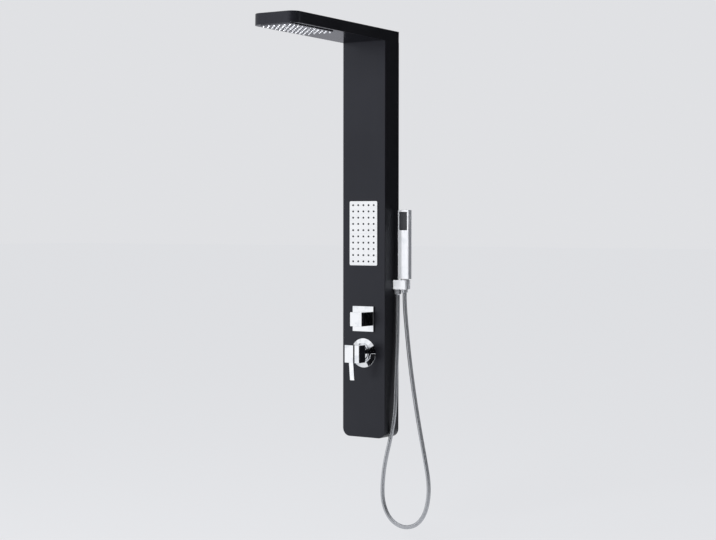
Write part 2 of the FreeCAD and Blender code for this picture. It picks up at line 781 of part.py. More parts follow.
def diverter_stack():
    """Y of the fixed disc's face, the turning disc's two faces and the case's front."""
    fixed_face = disc_floor() - DIVERTER_DISC_HEIGHT
    rotor_rear = fixed_face - DISC_FILM
    rotor_front = rotor_rear - DIVERTER_DISC_HEIGHT
    case_front = FRONT - DIVERTER_NOSE_LENGTH + SHEET + 1
    return fixed_face, rotor_rear, rotor_front, case_front


def diverter_fixed_disc():
    z = up(DIVERTER_UP)
    disc = rod_y(DIVERTER_BORE - 2 * FIT, disc_floor() - DIVERTER_DISC_HEIGHT, disc_floor(), 0, z)
    ports = []
    for x in (-DIVERTER_DISC / 4, DIVERTER_DISC / 4):
        ports.append(rod_y(DIVERTER_DISC / 5, disc_floor() - DIVERTER_DISC_HEIGHT - 1,
                           disc_floor() + 1, x, z))
    return cut_all(disc, ports)


def diverter_cartridge():
    z = up(DIVERTER_UP)
    fixed_face, _, rotor_front, case_front = diverter_stack()
    case = rod_y(DIVERTER_BORE - 2 * FIT, case_front, fixed_face, 0, z)
    neck = rod_y(DIVERTER_NECK, case_front - DIVERTER_NECK_LENGTH, case_front, 0, z)
    cavity = rod_y(DIVERTER_DISC + 2 * SLIDE_GAP, rotor_front - SLIDE_GAP, fixed_face + 1, 0, z)
    bore = rod_y(DIVERTER_STEM + 2 * PIN_PLAY, case_front - DIVERTER_NECK_LENGTH - 1,
                 fixed_face, 0, z)
    return cut_all(join([case, neck]), [cavity, bore])


def diverter_mount_nut():
    start = FRONT - DIVERTER_PLATE_SHEET
    ring = rod_y(DIVERTER_NUT, start - DIVERTER_NUT_HEIGHT, start, 0, up(DIVERTER_UP))
    return ring.cut(rod_y(DIVERTER_NOSE + 2 * FIT, start - DIVERTER_NUT_HEIGHT - 1, start + 1,
                          0, up(DIVERTER_UP)))


def diverter_plate():
    z = up(DIVERTER_UP)
    face_y = FRONT - DIVERTER_PLATE_SHEET
    plate = plate_y(DIVERTER_PLATE, DIVERTER_PLATE, EDGE_ROUND, 0, z, face_y, FRONT)
    plate = soften(plate, EDGE_ROUND / 2, lambda edge: lies_at(edge, "y", face_y))
    return plate.cut(rod_y(DIVERTER_NOSE + 2 * FIT, face_y - 1, FRONT + 1, 0, z))


def knob_rear():
    return FRONT - DIVERTER_PLATE_SHEET - KNOB_GAP


def knob_boss_rear():
    """Where the knob's central boss ends, just clear of the cartridge's neck."""
    return diverter_stack()[3] - DIVERTER_NECK_LENGTH - KNOB_BOSS_GAP


def diverter_stem():
    z = up(DIVERTER_UP)
    rotor_front = diverter_stack()[2]
    return rod_y(DIVERTER_STEM, knob_boss_rear() - KNOB_SOCKET_DEPTH, rotor_front, 0, z)


def diverter_rotor_disc():
    z = up(DIVERTER_UP)
    _, rotor_rear, rotor_front, _ = diverter_stack()
    disc = rod_y(DIVERTER_DISC, rotor_front, rotor_rear, 0, z)
    return disc.cut(rod_y(DIVERTER_DISC / 5, rotor_front - 1, rotor_rear + 1,
                          DIVERTER_DISC / 3, z))


def hollow_block(size, front, rear, wall, face, z):
    """A square casting, open behind, with softened front edges."""
    block = plate_y(size, size, EDGE_ROUND, 0, z, front, rear)
    block = soften(block, EDGE_ROUND / 2, lambda edge: lies_at(edge, "y", front))
    inner = size - 2 * wall
    return block.cut(plate_y(inner, inner, EDGE_ROUND, 0, z, front + face, rear + 1))


def grub_screw(diameter, foot, top, y):
    """A short screw with a hexagonal key hole in its lower end."""
    screw = rod_z(diameter, foot, top, 0, y)
    return screw.cut(hexagon(diameter / 2, diameter / 2, vec(0, y, foot), AXIS_Z))


def knob_screw_y():
    return knob_boss_rear() - KNOB_SOCKET_DEPTH / 2


def diverter_knob():
    z = up(DIVERTER_UP)
    front = FRONT - KNOB_PROUD
    block = hollow_block(KNOB_SIZE, front, knob_rear(), KNOB_WALL, KNOB_FACE, z)
    boss = rod_y(KNOB_BOSS, front + KNOB_FACE / 2, knob_boss_rear(), 0, z)
    bridge = box(-KNOB_SCREW, KNOB_SCREW, knob_screw_y() - KNOB_SCREW, knob_screw_y() + KNOB_SCREW,
                 z - KNOB_SIZE / 2 + KNOB_WALL / 2, z)
    end = knob_boss_rear() - KNOB_SOCKET_DEPTH - FIT
    socket = rod_y(DIVERTER_STEM + FIT, end, knob_boss_rear() + 1, 0, z)
    screw_hole = rod_z(KNOB_SCREW + FIT, z - KNOB_SIZE / 2 - 1, z, 0, knob_screw_y())
    return cut_all(join([block, boss, bridge]), [socket, screw_hole])


def diverter_knob_screw():
    z = up(DIVERTER_UP)
    return grub_screw(KNOB_SCREW, z - KNOB_SIZE / 2 + EDGE_ROUND, z - DIVERTER_STEM / 2 - FIT,
                      knob_screw_y())


# ---- mixer ----------------------------------------------------------------------------------
def mixer_ports():
    """The start and direction of each water port of the mixer: hot, cold and mixed."""
    z = up(MIXER_UP)
    low = z - MIXER_BARREL / 2 - MIXER_INLET_LENGTH
    high = z + MIXER_BARREL / 2 + MIXER_OUTLET_LENGTH
    half = MIXER_INLET_SPACING / 2
    return [(vec(-half, PORT_Y, low), -AXIS_Z), (vec(half, PORT_Y, low), -AXIS_Z),
            (vec(0, PORT_Y, high), AXIS_Z)]


def mixer_stack():
    """Y of the stations along the cartridge, from its seat forwards."""
    nose_front = FRONT_INNER - MIXER_NOSE_LENGTH
    nut_rear = nose_front + CARTRIDGE_NUT_HEIGHT + FIT
    flange_rear = nut_rear + CARTRIDGE_FLANGE_HEIGHT
    seat = flange_rear + CARTRIDGE_LENGTH
    floor = seat - CARTRIDGE_FLOOR
    fixed_face = floor - FIXED_DISC_HEIGHT
    slide_rear = fixed_face - DISC_FILM
    slide_front = slide_rear - SLIDE_DISC_HEIGHT
    return nose_front, nut_rear, flange_rear, seat, floor, fixed_face, slide_rear, slide_front


def mixer_valve_body():
    z = up(MIXER_UP)
    nose_front, _, flange_rear, seat, _, _, _, _ = mixer_stack()
    rear = FRONT_INNER + MIXER_BARREL_DEPTH
    barrel = rod_y(MIXER_BARREL, FRONT_INNER, rear, 0, z)
    flange = rod_y(MIXER_FLANGE, FRONT_INNER, FRONT_INNER + 2 * SHEET, 0, z)
    nose = rod_y(MIXER_NOSE, nose_front, FRONT_INNER, 0, z)
    spigots = []
    bores = []
    for end, way in mixer_ports():
        length = abs(end.z - z)
        spigots.append(Part.makeCylinder(PORT_DIAMETER / 2, length, end, -way))
        bores.append(Part.makeCylinder(PORT_BORE / 2, length + 1, end + way, -way))
    body = join([barrel, flange, nose] + spigots)
    bore = rod_y(CARTRIDGE + 2 * FIT, flange_rear - 1, seat, 0, z)
    wide_bore = rod_y(CARTRIDGE_FLANGE + 2 * FIT, nose_front - 1, flange_rear, 0, z)
    gallery = rod_y(CARTRIDGE_CAVITY - 2 * SHEET, seat - 1, gallery_end(), 0, z)
    return cut_all(body, [bore, wide_bore, gallery] + bores)


def mixer_mount_nut():
    z = up(MIXER_UP)
    ring = rod_y(MIXER_NUT, FRONT - MIXER_NUT_HEIGHT, FRONT, 0, z)
    return ring.cut(rod_y(MIXER_NOSE + 2 * FIT, FRONT - MIXER_NUT_HEIGHT - 1, FRONT + 1, 0, z))


def mixer_plate():
    bore = MIXER_NUT / 2 + FIT
    outer = MIXER_PLATE / 2
    crown = MIXER_PLATE_CROWN / 2
    face = FRONT - MIXER_PLATE_SHEET
    edge = FRONT - MIXER_PLATE_EDGE
    z = up(MIXER_UP)
    corners = [vec(bore, FRONT, z), vec(outer, FRONT, z), vec(outer, edge, z),
               vec(crown, face, z), vec(bore, face, z)]
    profile = Part.Face(Part.makePolygon(corners + corners[:1]))
    plate = profile.revolve(vec(0, 0, z), AXIS_Y, 360)
    return soften(plate, MIXER_PLATE_EDGE / 3, lambda rim: lies_at(rim, "y", edge))


def mixer_sleeve():
    """The domed cover over the cartridge, a ball about the lever's pivot."""
    z = up(MIXER_UP)
    seat = FRONT - MIXER_PLATE_SHEET
    nose_front = mixer_stack()[0]
    foot = rod_y(SLEEVE_FOOT, seat - SLEEVE_FOOT_HEIGHT, seat, 0, z)
    foot = soften(foot, SLEEVE_FOOT_HEIGHT / 3,
                  lambda edge: lies_at(edge, "y", seat - SLEEVE_FOOT_HEIGHT))
    barrel = rod_y(2 * SLEEVE_RADIUS, PIVOT_Y, seat, 0, z)
    ball = Part.makeSphere(SLEEVE_RADIUS, vec(0, PIVOT_Y, z))
    behind = box(-SLEEVE_FOOT, SLEEVE_FOOT, PIVOT_Y, 0, z - SLEEVE_FOOT, z + SLEEVE_FOOT)
    body = join([foot, barrel, ball.cut(behind)])
    bore = rod_y(MIXER_NOSE + 2 * FIT, nose_front, seat + 1, 0, z)
    inner_ball = Part.makeSphere(SLEEVE_RADIUS - SLEEVE_WALL, vec(0, PIVOT_Y, z))
    inner_ball = inner_ball.cut(box(-SLEEVE_FOOT, SLEEVE_FOOT, nose_front + SHEET, 0,
                                    z - SLEEVE_FOOT, z + SLEEVE_FOOT))
    opening = rod_y(SLEEVE_OPENING, PIVOT_Y - SLEEVE_FOOT, PIVOT_Y, 0, z)
    return cut_all(body, [bore, inner_ball, opening])


def mixer_cartridge_case():
    z = up(MIXER_UP)
    _, nut_rear, flange_rear, seat, floor, _, _, _ = mixer_stack()
    case = rod_y(CARTRIDGE, flange_rear, seat, 0, z)
    flange = rod_y(CARTRIDGE_FLANGE, nut_rear, flange_rear, 0, z)
    cavity = rod_y(CARTRIDGE_CAVITY, nut_rear - 1, floor, 0, z)
    tools = [cavity]
    for x in (-CARTRIDGE_CAVITY / 4, CARTRIDGE_CAVITY / 4):
        tools.append(rod_y(PORT_BORE * 2 / 3, floor - 1, seat + 1, x, z - CARTRIDGE_CAVITY / 6))
    tools.append(rod_y(PORT_BORE * 2 / 3, floor - 1, seat + 1, 0, z + CARTRIDGE_CAVITY / 4))
    return cut_all(join([case, flange]), tools)


def mixer_fixed_disc():
    z = up(MIXER_UP)
    _, _, _, _, floor, fixed_face, _, _ = mixer_stack()
    disc = rod_y(CARTRIDGE_CAVITY - 2 * FIT, fixed_face, floor, 0, z)
    tools = []
    for x in (-CARTRIDGE_CAVITY / 4, CARTRIDGE_CAVITY / 4):
        tools.append(rod_y(PORT_BORE / 2, fixed_face - 1, floor + 1, x, z - CARTRIDGE_CAVITY / 6))
    tools.append(rod_y(PORT_BORE / 2, fixed_face - 1, floor + 1, 0, z + CARTRIDGE_CAVITY / 4))
    return cut_all(disc, tools)


def mixer_slide_disc():
    """The sliding ceramic disc with the pocket that the stem's tail moves in."""
    z = up(MIXER_UP)
    _, _, _, _, _, _, slide_rear, slide_front = mixer_stack()
    disc = rod_y(SLIDE_DISC, slide_front, slide_rear, 0, z)
    half = STEM_TAIL / 2 + SLIDE_GAP
    pocket = box(-2 * half, 2 * half, slide_front - 1, slide_front + SLIDE_POCKET_DEPTH,
                 z - half, z + half)
    groove = rod_y(SLIDE_DISC / 3, slide_rear - FIXED_DISC_HEIGHT / 2, slide_rear + 1, 0, z)
    return cut_all(disc, [pocket, groove])


def carrier_rear():
    return mixer_stack()[7] - CARRIER_GAP


def mixer_carrier():
    """The turning plastic rotor that holds the stem's hinge pin."""
    z = up(MIXER_UP)
    rear = carrier_rear()
    rotor = rod_y(CARTRIDGE_CAVITY - 2 * SLIDE_GAP, rear - CARRIER_HEIGHT, rear, 0, z)
    half_x = STEM_EYE / 2 + SLIDE_GAP
    half_z = STEM_EYE / 2 + 4 * SLIDE_GAP
    slot = box(-half_x, half_x, rear - CARRIER_HEIGHT - 1, rear + 1, z - half_z, z + half_z)
    pin_hole = rod_x(STEM_PIN, -CARTRIDGE_CAVITY, CARTRIDGE_CAVITY, PIVOT_Y, z)
    return cut_all(rotor, [slot, pin_hole])


def mixer_stem_pin():
    half = CARTRIDGE_CAVITY / 2 - 4 * SLIDE_GAP
    return rod_x(STEM_PIN, -half, half, PIVOT_Y, up(MIXER_UP))


def handle_front():
    return FRONT - HANDLE_PROUD


def handle_boss_rear():
    """Where the handle's central boss ends, just clear of the dome."""
    return PIVOT_Y - SLEEVE_RADIUS - HANDLE_DOME_GAP


def handle_screw_y():
    return handle_boss_rear() - HANDLE_SOCKET_DEPTH / 2


def mixer_stem():
    z = up(MIXER_UP)
    eye = Part.makeSphere(STEM_EYE / 2, vec(0, PIVOT_Y, z))
    shaft = rod_y(STEM_SHAFT, handle_boss_rear() - HANDLE_SOCKET_DEPTH, PIVOT_Y, 0, z)
    tail = rod_y(STEM_NECK, PIVOT_Y, PIVOT_Y + STEM_TAIL_REACH, 0, z)
    tail_ball = Part.makeSphere(STEM_TAIL / 2, vec(0, PIVOT_Y + STEM_TAIL_REACH, z))
    hole = rod_x(STEM_PIN + 2 * PIN_PLAY, -STEM_EYE, STEM_EYE, PIVOT_Y, z)
    return join([eye, shaft, tail, tail_ball]).cut(hole)


def mixer_handle():
    """The square handle, hollow behind, with a boss for the stem."""
    z = up(MIXER_UP)
    front = handle_front()
    rear = front + HANDLE_DEPTH
    block = hollow_block(HANDLE_SIZE, front, rear, HANDLE_WALL, HANDLE_FACE, z)
    boss = rod_y(HANDLE_BOSS, front + HANDLE_FACE / 2, handle_boss_rear(), 0, z)
    screw_y = handle_screw_y()
    bridge = box(-HANDLE_SCREW, HANDLE_SCREW, screw_y - HANDLE_SCREW, screw_y + HANDLE_SCREW,
                 z - HANDLE_SIZE / 2 + HANDLE_WALL / 2, z)
    end = handle_boss_rear() - HANDLE_SOCKET_DEPTH - FIT
    socket = rod_y(STEM_SHAFT + FIT, end, handle_boss_rear() + 1, 0, z)
    screw_hole = rod_z(HANDLE_SCREW + FIT, z - HANDLE_SIZE / 2 - 1, z, 0, screw_y)
    return cut_all(join([block, boss, bridge]), [socket, screw_hole])


def mixer_lever_bar():
    """The flat bar on the handle's face, bent so that its free end leans to the wall."""
    z = up(MIXER_UP)
    rear = handle_front()
    front = rear - LEVER_SHEET
    top = z + HANDLE_SIZE / 2
    bend = z - HANDLE_SIZE / 2
    foot = bend - LEVER_DROP
    stations = [(front, top), (rear, top), (rear, bend), (rear + LEVER_SET_BACK, foot),
                (front + LEVER_SET_BACK, foot), (front, bend)]
    corners = [vec(-LEVER_WIDTH / 2, y, height) for y, height in stations]
    profile = Part.Face(Part.makePolygon(corners + corners[:1]))
    bar = profile.extrude(vec(LEVER_WIDTH, 0, 0))
    return soften(bar, EDGE_ROUND / 3, lambda edge: lies_at(edge, "z", foot) or
                  (edge.BoundBox.YMin < front + FIT and not lies_at(edge, "z", bend)))


def mixer_handle_screw():
    z = up(MIXER_UP)
    return grub_screw(HANDLE_SCREW, z - HANDLE_SIZE / 2 + EDGE_ROUND, z - STEM_SHAFT / 2 - FIT,
                      handle_screw_y())


def mixer_cartridge_nut():
    z = up(MIXER_UP)
    nut_rear = mixer_stack()[1]
    ring = rod_y(CARTRIDGE_FLANGE, nut_rear - CARTRIDGE_NUT_HEIGHT, nut_rear, 0, z)
    return ring.cut(rod_y(CARTRIDGE_NUT_BORE, nut_rear - CARTRIDGE_NUT_HEIGHT - 1, nut_rear + 1,
                          0, z))


# ---- hoses and unions inside the column -------------------------------------------------------
def supply_hose(side):
    """A flexible hose from a mixer inlet down and back to the wall."""
    start = mixer_ports()[0 if side < 0 else 1][0]
    x = side * SUPPLY_SPACING / 2
    drop = start.z - up(SUPPLY_UP)
    end_y = -SUPPLY_NUT_OFFSET - SUPPLY_THREAD_LENGTH
    points = [start, vec(start.x, PORT_Y, start.z - drop / 4),
              vec(x, PORT_Y, start.z - drop * 2 / 3), vec(x, PORT_Y, up(SUPPLY_UP)),
              vec(x, end_y, up(SUPPLY_UP))]
    return feed_tube(points, FEED_DIAMETER * 1.6)


def supply_nut(side):
    """The union nut that takes a half inch supply pipe from the wall."""
    x = side * SUPPLY_SPACING / 2
    front = -SUPPLY_NUT_OFFSET - SUPPLY_NUT_LENGTH
    body = hexagon(SUPPLY_NUT, SUPPLY_NUT_LENGTH, vec(x, front, up(SUPPLY_UP)), AXIS_Y)
    thread = rod_y(SUPPLY_THREAD, -SUPPLY_NUT_OFFSET - SUPPLY_THREAD_LENGTH, 0, x, up(SUPPLY_UP))
    passage = rod_y(FEED_DIAMETER + FIT, front - 1, 0, x, up(SUPPLY_UP))
    return cut_all(body, [thread, passage])


def link_pipe():
    """The straight pipe from the mixer up to the diverter."""
    start = mixer_ports()[2][0].z
    end = diverter_ports()[3][0].z
    pipe = rod_z(FEED_DIAMETER, start, end, 0, PORT_Y)
    return pipe.cut(rod_z(FEED_BORE, start - 1, end + 1, 0, PORT_Y))


def jet_inlet():
    return vec(JET_INLET_X, FRONT_INNER + JET_INLET_DEPTH,
               up(JET_UP) - JET_WINDOW_HEIGHT / 2 - JET_INLET_LENGTH)


def jet_feed_hose():
    start = diverter_ports()[1][0]
    end = jet_inlet()
    rise = end.z - start.z
    corner = start.x - FEED_DIAMETER * 1.8
    points = [start, vec(corner, PORT_Y, start.z), vec(corner, (PORT_Y + end.y) / 2,
              start.z + rise * 0.4), vec(end.x, end.y, start.z + rise * 0.7), end]
    return feed_tube(points, FEED_DIAMETER * 1.5)


def elbow_port():
    x = INNER_SIDE - SHANK_INSIDE
    return vec(x, holder_y(), up(HOLDER_UP) - ELBOW_DROP)


def hand_feed_hose():
    start = diverter_ports()[0][0]
    end = elbow_port()
    rise = end.z - start.z
    points = [start, vec(end.x, PORT_Y, start.z), vec(end.x, end.y, start.z + rise * 0.65), end]
    return feed_tube(points, FEED_DIAMETER * 1.5)


def rain_inlet():
    rear = -RAIN_CENTRE + chamber_size()[1] / 2 + RAIN_INLET_LENGTH
    return arm_point(0, rear, RAIN_INLET_HEIGHT)


def rain_feed_hose():
    """From the diverter up behind the jets, then forward along the arm."""
    start = diverter_ports()[2][0]
    end = rain_inlet()
    back = FRONT_INNER + JET_BOX_DEPTH + FEED_DIAMETER
    turn = arm_point(0, back, RAIN_INLET_HEIGHT)
    jet_foot = up(JET_UP) - JET_WINDOW_HEIGHT / 2
    points = [start, vec(0, PORT_Y, (start.z * 2 + jet_foot) / 3),
              vec(0, back, (start.z + jet_foot * 2) / 3), vec(0, turn.y, turn.z), end]
    return feed_tube(points, FEED_DIAMETER * 1.6)


def union_nuts():
    """One nut round each meeting of a port and its hose or pipe."""
    bore = PORT_DIAMETER + 2 * FIT
    joints = mixer_ports() + diverter_ports()
    joints.append((jet_inlet(), AXIS_Z))
    joints.append((elbow_port(), AXIS_Z))
    arm_way = arm_point(0, 1, 0) - arm_point(0, 0, 0)
    joints.append((rain_inlet(), arm_way))
    nuts = []
    for place, way in joints:
        start = place - way * (UNION_LENGTH / 2)
        nuts.append(nut(UNION_ACROSS, bore, UNION_LENGTH, start, way))
    return group(nuts)


# ---- hand shower holder -----------------------------------------------------------------------
def holder_y():
    return -HOLDER_WALL_GAP - HOLDER_DEPTH / 2


def holder_left():
    return HALF_WIDTH + SHANK_WASHER_SHEET


def outlet_x():
    return holder_left() + OUTLET_OFFSET


def cradle_x():
    return holder_left() + HOLDER_CRADLE


def holder_top():
    return up(HOLDER_UP) + HOLDER_HEIGHT / 2


def holder_foot():
    return up(HOLDER_UP) - HOLDER_HEIGHT / 2


def holder_block():
    """The block that feeds the hose and cradles the hand shower's conical nut."""
    left = holder_left()
    right = left + HOLDER_LENGTH
    y = holder_y()
    block = box(left, right, y - HOLDER_DEPTH / 2, y + HOLDER_DEPTH / 2, holder_foot(), holder_top())
    block = soften(block, HOLDER_ROUND, lambda edge: not lies_at(edge, "x", left))
    spigot = rod_z(OUTLET_SPIGOT, holder_foot() - OUTLET_SPIGOT_LENGTH, holder_foot() + 1,
                   outlet_x(), y)
    body = join([block, spigot])
    taper = (CONE_NUT_TOP - CONE_NUT_FOOT) / CONE_NUT_LENGTH
    lower = CONE_NUT_TOP - taper * HOLDER_HEIGHT
    clear = 2 * SLIDE_GAP
    cradle = cone_z(lower + clear, CONE_NUT_TOP + clear, holder_foot(), holder_top(), cradle_x(), y)
    slot = box(cradle_x(), right + 1, y - HOLDER_SLOT / 2, y + HOLDER_SLOT / 2,
               holder_foot() - 1, holder_top() + 1)
    shank_hole = rod_x(SHANK + 2 * FIT, left - 1, left + SHANK_SOCKET, y, up(HOLDER_UP))
    cross = rod_x(PORT_BORE, left, outlet_x(), y, up(HOLDER_UP))
    down = rod_z(PORT_BORE, holder_foot() - OUTLET_SPIGOT_LENGTH - 1, up(HOLDER_UP), outlet_x(), y)
    return cut_all(body, [cradle, slot, shank_hole, cross, down])


def holder_shank():
    """The hollow threaded stud through the column's side."""
    x0 = INNER_SIDE - SHANK_INSIDE
    x1 = holder_left() + SHANK_SOCKET
    stud = rod_x(SHANK, x0, x1, holder_y(), up(HOLDER_UP))
    return stud.cut(rod_x(SHANK_BORE, x0 - 1, x1 + 1, holder_y(), up(HOLDER_UP)))


def holder_washer():
    ring = rod_x(SHANK_WASHER, HALF_WIDTH, holder_left(), holder_y(), up(HOLDER_UP))
    return ring.cut(rod_x(SHANK + 2 * FIT, HALF_WIDTH - 1, holder_left() + 1, holder_y(),
                          up(HOLDER_UP)))


def holder_locknut():
    start = vec(INNER_SIDE - LOCKNUT_HEIGHT, holder_y(), up(HOLDER_UP))
    return nut(LOCKNUT_ACROSS, SHANK + 2 * FIT, LOCKNUT_HEIGHT, start, AXIS_X)


def holder_elbow():
    """The elbow that carries water from the feed hose into the hollow stud."""
    y = holder_y()
    z = up(HOLDER_UP)
    right = INNER_SIDE - LOCKNUT_HEIGHT
    left = right - ELBOW_LENGTH
    port = elbow_port()
    body = rod_x(ELBOW_DIAMETER, left, right, y, z)
    body = soften(body, SHEET, lambda edge: lies_at(edge, "x", left))
    leg = rod_z(PORT_DIAMETER, port.z, z, port.x, y)
    stud_hole = rod_x(SHANK + 2 * FIT, INNER_SIDE - SHANK_INSIDE, right + 1, y, z)
    bore = rod_x(SHANK_BORE, left + 2 * SHEET, right, y, z)
    down = rod_z(PORT_BORE, port.z - 1, z, port.x, y)
    return cut_all(join([body, leg]), [stud_hole, bore, down])


# ---- hand shower --------------------------------------------------------------------------------
def collar_top():
    return holder_top() + CONE_NUT_COLLAR_HEIGHT


def handset_foot():
    return collar_top() + COUPLING_GAP


def handset_front():
    return holder_y() - HANDSET_DEPTH / 2


def spray_foot():
    return handset_foot() + HANDSET_LENGTH - SPRAY_FROM_TOP - SPRAY_HEIGHT


def spray_centre():
    return spray_foot() + SPRAY_HEIGHT / 2


def handset_body():
    """The flat bar with a recess for the spray face and a water way up to it."""
    x = cradle_x()
    y = holder_y()
    foot = handset_foot()
    top = foot + HANDSET_LENGTH
    bar = plate_z(HANDSET_WIDTH, HANDSET_DEPTH, HANDSET_EDGE, x, y, foot, top)
    bar = soften(bar, HANDSET_EDGE / 2, lambda edge: lies_at(edge, "z", top))
    front = handset_front()
    recess_back = front + SPRAY_RECESS
    recess = plate_y(SPRAY_WIDTH, SPRAY_HEIGHT, HANDSET_EDGE, x, spray_centre(),
                     front - 1, recess_back)
    rim = 2 * SPRAY_RIM
    window = plate_y(SPRAY_WIDTH - rim, SPRAY_HEIGHT - rim, HANDSET_EDGE, x, spray_centre(),
                     front, y)
    wall = 2 * HANDSET_WALL
    ledge = SPRAY_RECESS + SPRAY_RIM
    lower = plate_z(HANDSET_WIDTH - wall, HANDSET_DEPTH - wall, HANDSET_EDGE / 2, x, y,
                    foot + NIPPLE_SOCKET + HANDSET_WALL, spray_foot() - HANDSET_WALL)
    upper = box(x - HANDSET_WIDTH / 2 + HANDSET_WALL, x + HANDSET_WIDTH / 2 - HANDSET_WALL,
                front + ledge, front + HANDSET_DEPTH - HANDSET_WALL,
                spray_foot() - HANDSET_WALL, top - HANDSET_WALL)
    inlet = rod_z(NIPPLE_BORE, foot, foot + NIPPLE_SOCKET + HANDSET_WALL + 1, x, y)
    socket = rod_z(NIPPLE + 2 * FIT - 2 * SHEET, foot - 1, foot + NIPPLE_SOCKET, x, y)
    return cut_all(bar, [recess, window, lower, upper, inlet, socket])


def handset_spray_face():
    """The dark moulded face with its rows of small nozzles."""
    x = cradle_x()
    front = handset_front()
    face_y = front + SPRAY_RECESS / 6
    base = plate_y(SPRAY_WIDTH - 2 * FIT, SPRAY_HEIGHT - 2 * FIT, HANDSET_EDGE - FIT, x,
                   spray_centre(), face_y, front + SPRAY_RECESS)
    tips = []
    for dx, dz in grid(SPRAY_COLUMNS, SPRAY_ROWS, SPRAY_PITCH):
        place = vec(x + dx, face_y, spray_centre() + dz)
        tips.append(Part.makeCone(SPRAY_NOZZLE / 2, SPRAY_NOZZLE_TIP / 2, SPRAY_NOZZLE_LENGTH,
                                  place, -AXIS_Y))
    return base.multiFuse(tips)


def handset_nipple():
    """The threaded inlet that the hose's conical nut screws onto."""
    x = cradle_x()
    y = holder_y()
    foot = handset_foot()
    thread = rod_z(NIPPLE, foot - NIPPLE_LENGTH, foot, x, y)
    neck = rod_z(NIPPLE - 2 * SHEET, foot, foot + NIPPLE_SOCKET - FIT, x, y)
    bore = rod_z(NIPPLE_BORE, foot - NIPPLE_LENGTH - 1, foot + NIPPLE_SOCKET, x, y)
    return join([thread, neck]).cut(bore)


def tail_top():
    """Top of the hose tail's flange, below the washer and the threaded inlet."""
    return handset_foot() - NIPPLE_LENGTH - WASHER_SHEET - COUPLING_GAP


def handset_washer():
    x = cradle_x()
    y = holder_y()
    foot = handset_foot() - NIPPLE_LENGTH - WASHER_SHEET
    ring = rod_z(TAIL_FLANGE, foot, foot + WASHER_SHEET, x, y)
    return ring.cut(rod_z(NIPPLE_BORE, foot - 1, foot + WASHER_SHEET + 1, x, y))


def cone_nut_foot():
    return holder_top() - CONE_NUT_LENGTH


def handset_cone_nut():
    """The conical nut that couples the hose and rests in the holder by its collar."""
    x = cradle_x()
    y = holder_y()
    foot = cone_nut_foot()
    collar = rod_z(CONE_NUT_COLLAR, holder_top(), collar_top(), x, y)
    collar = soften(collar, CONE_NUT_COLLAR_HEIGHT / 4, lambda edge: lies_at(edge, "z", collar_top()))
    taper = cone_z(CONE_NUT_FOOT, CONE_NUT_TOP, foot, holder_top(), x, y)
    thread_floor = tail_top() - TAIL_FLANGE_HEIGHT - COUPLING_GAP
    thread = rod_z(NIPPLE + 2 * FIT, thread_floor, collar_top() + 1, x, y)
    passage = rod_z(TAIL_DIAMETER + 2 * SLIDE_GAP, foot - 1, thread_floor + 1, x, y)
    return cut_all(join([collar, taper]), [thread, passage])


def hose_upper_tail():
    """The swivelling end of the hose inside the conical nut."""
    x = cradle_x()
    y = holder_y()
    flange_foot = tail_top() - TAIL_FLANGE_HEIGHT
    flange = rod_z(TAIL_FLANGE, flange_foot, tail_top(), x, y)
    tail = rod_z(TAIL_DIAMETER, cone_nut_foot(), flange_foot, x, y)
    return join([flange, tail]).cut(rod_z(TAIL_BORE, cone_nut_foot() - 1, tail_top() + 1, x, y))


# ---- shower hose --------------------------------------------------------------------------------
def hose_nut_top():
    return holder_foot() - OUTLET_SPIGOT_LENGTH + HOSE_NUT_THREAD_DEPTH


def hose_start():
    return vec(outlet_x(), holder_y(), hose_nut_top() - HOSE_NUT_LENGTH)


def hose_end():
    return vec(cradle_x(), holder_y(), cone_nut_foot())


def hose_nut():
    """The hexagonal nut that screws onto the outlet spigot."""
    start = hose_start()
    body = hexagon(HOSE_NUT_ACROSS, HOSE_NUT_LENGTH, start, AXIS_Z)
    crown = cone_z(HOSE_DIAMETER, HOSE_DIAMETER + 4 * HOSE_NUT_LENGTH, start.z,
                   start.z + 2 * HOSE_NUT_LENGTH, start.x, start.y)
    top = start.z + HOSE_NUT_LENGTH
    thread = rod_z(OUTLET_SPIGOT + 2 * FIT, top - HOSE_NUT_THREAD_DEPTH, top + 1, start.x, start.y)
    passage = rod_z(TAIL_DIAMETER + 2 * FIT, start.z - 1, top, start.x, start.y)
    return cut_all(body.common(crown), [thread, passage])


def hose_lower_tail():
    """The hose's crimped end inside the hexagonal nut."""
    start = hose_start()
    top = start.z + HOSE_NUT_LENGTH - HOSE_NUT_THREAD_DEPTH
    tail = rod_z(TAIL_DIAMETER, start.z, top, start.x, start.y)
    return tail.cut(rod_z(TAIL_BORE, start.z - 1, top + 1, start.x, start.y))


def hose_points():
    """The hose's route: down beside the column, a low loop, and up to the hand shower."""
    start = hose_start()
    end = hose_end()
    return [
        start,
        vec(start.x, start.y, up(400)),
        vec(93.5, -25.0, up(300)),
        vec(94.0, -34.0, up(185)),
        vec(97.5, -44.0, up(82)),
        vec(86.0, -51.0, up(0)),
        vec(65.0, -52.0, up(-76)),
        vec(54.0, -51.0, up(-152)),
        vec(56.0, -50.0, up(-212)),
        vec(81.0, -48.0, up(-261)),
        vec(127.0, -46.0, up(-284)),
        vec(175.0, -45.0, up(-275)),
        vec(208.0, -44.0, up(-242)),
        vec(224.0, -43.0, up(-192)),
        vec(226.0, -42.0, up(-135)),
        vec(211.0, -41.0, up(-62)),
        vec(191.0, -39.0, up(22)),
        vec(169.0, -35.0, up(120)),
        vec(145.0, -29.0, up(240)),
        vec(127.0, -23.0, up(361)),
        vec(end.x, end.y, up(430)),
        end,
    ]


def cord_radius(run, half_turn):
    return ARC_SHARE * run / math.tan(half_turn)


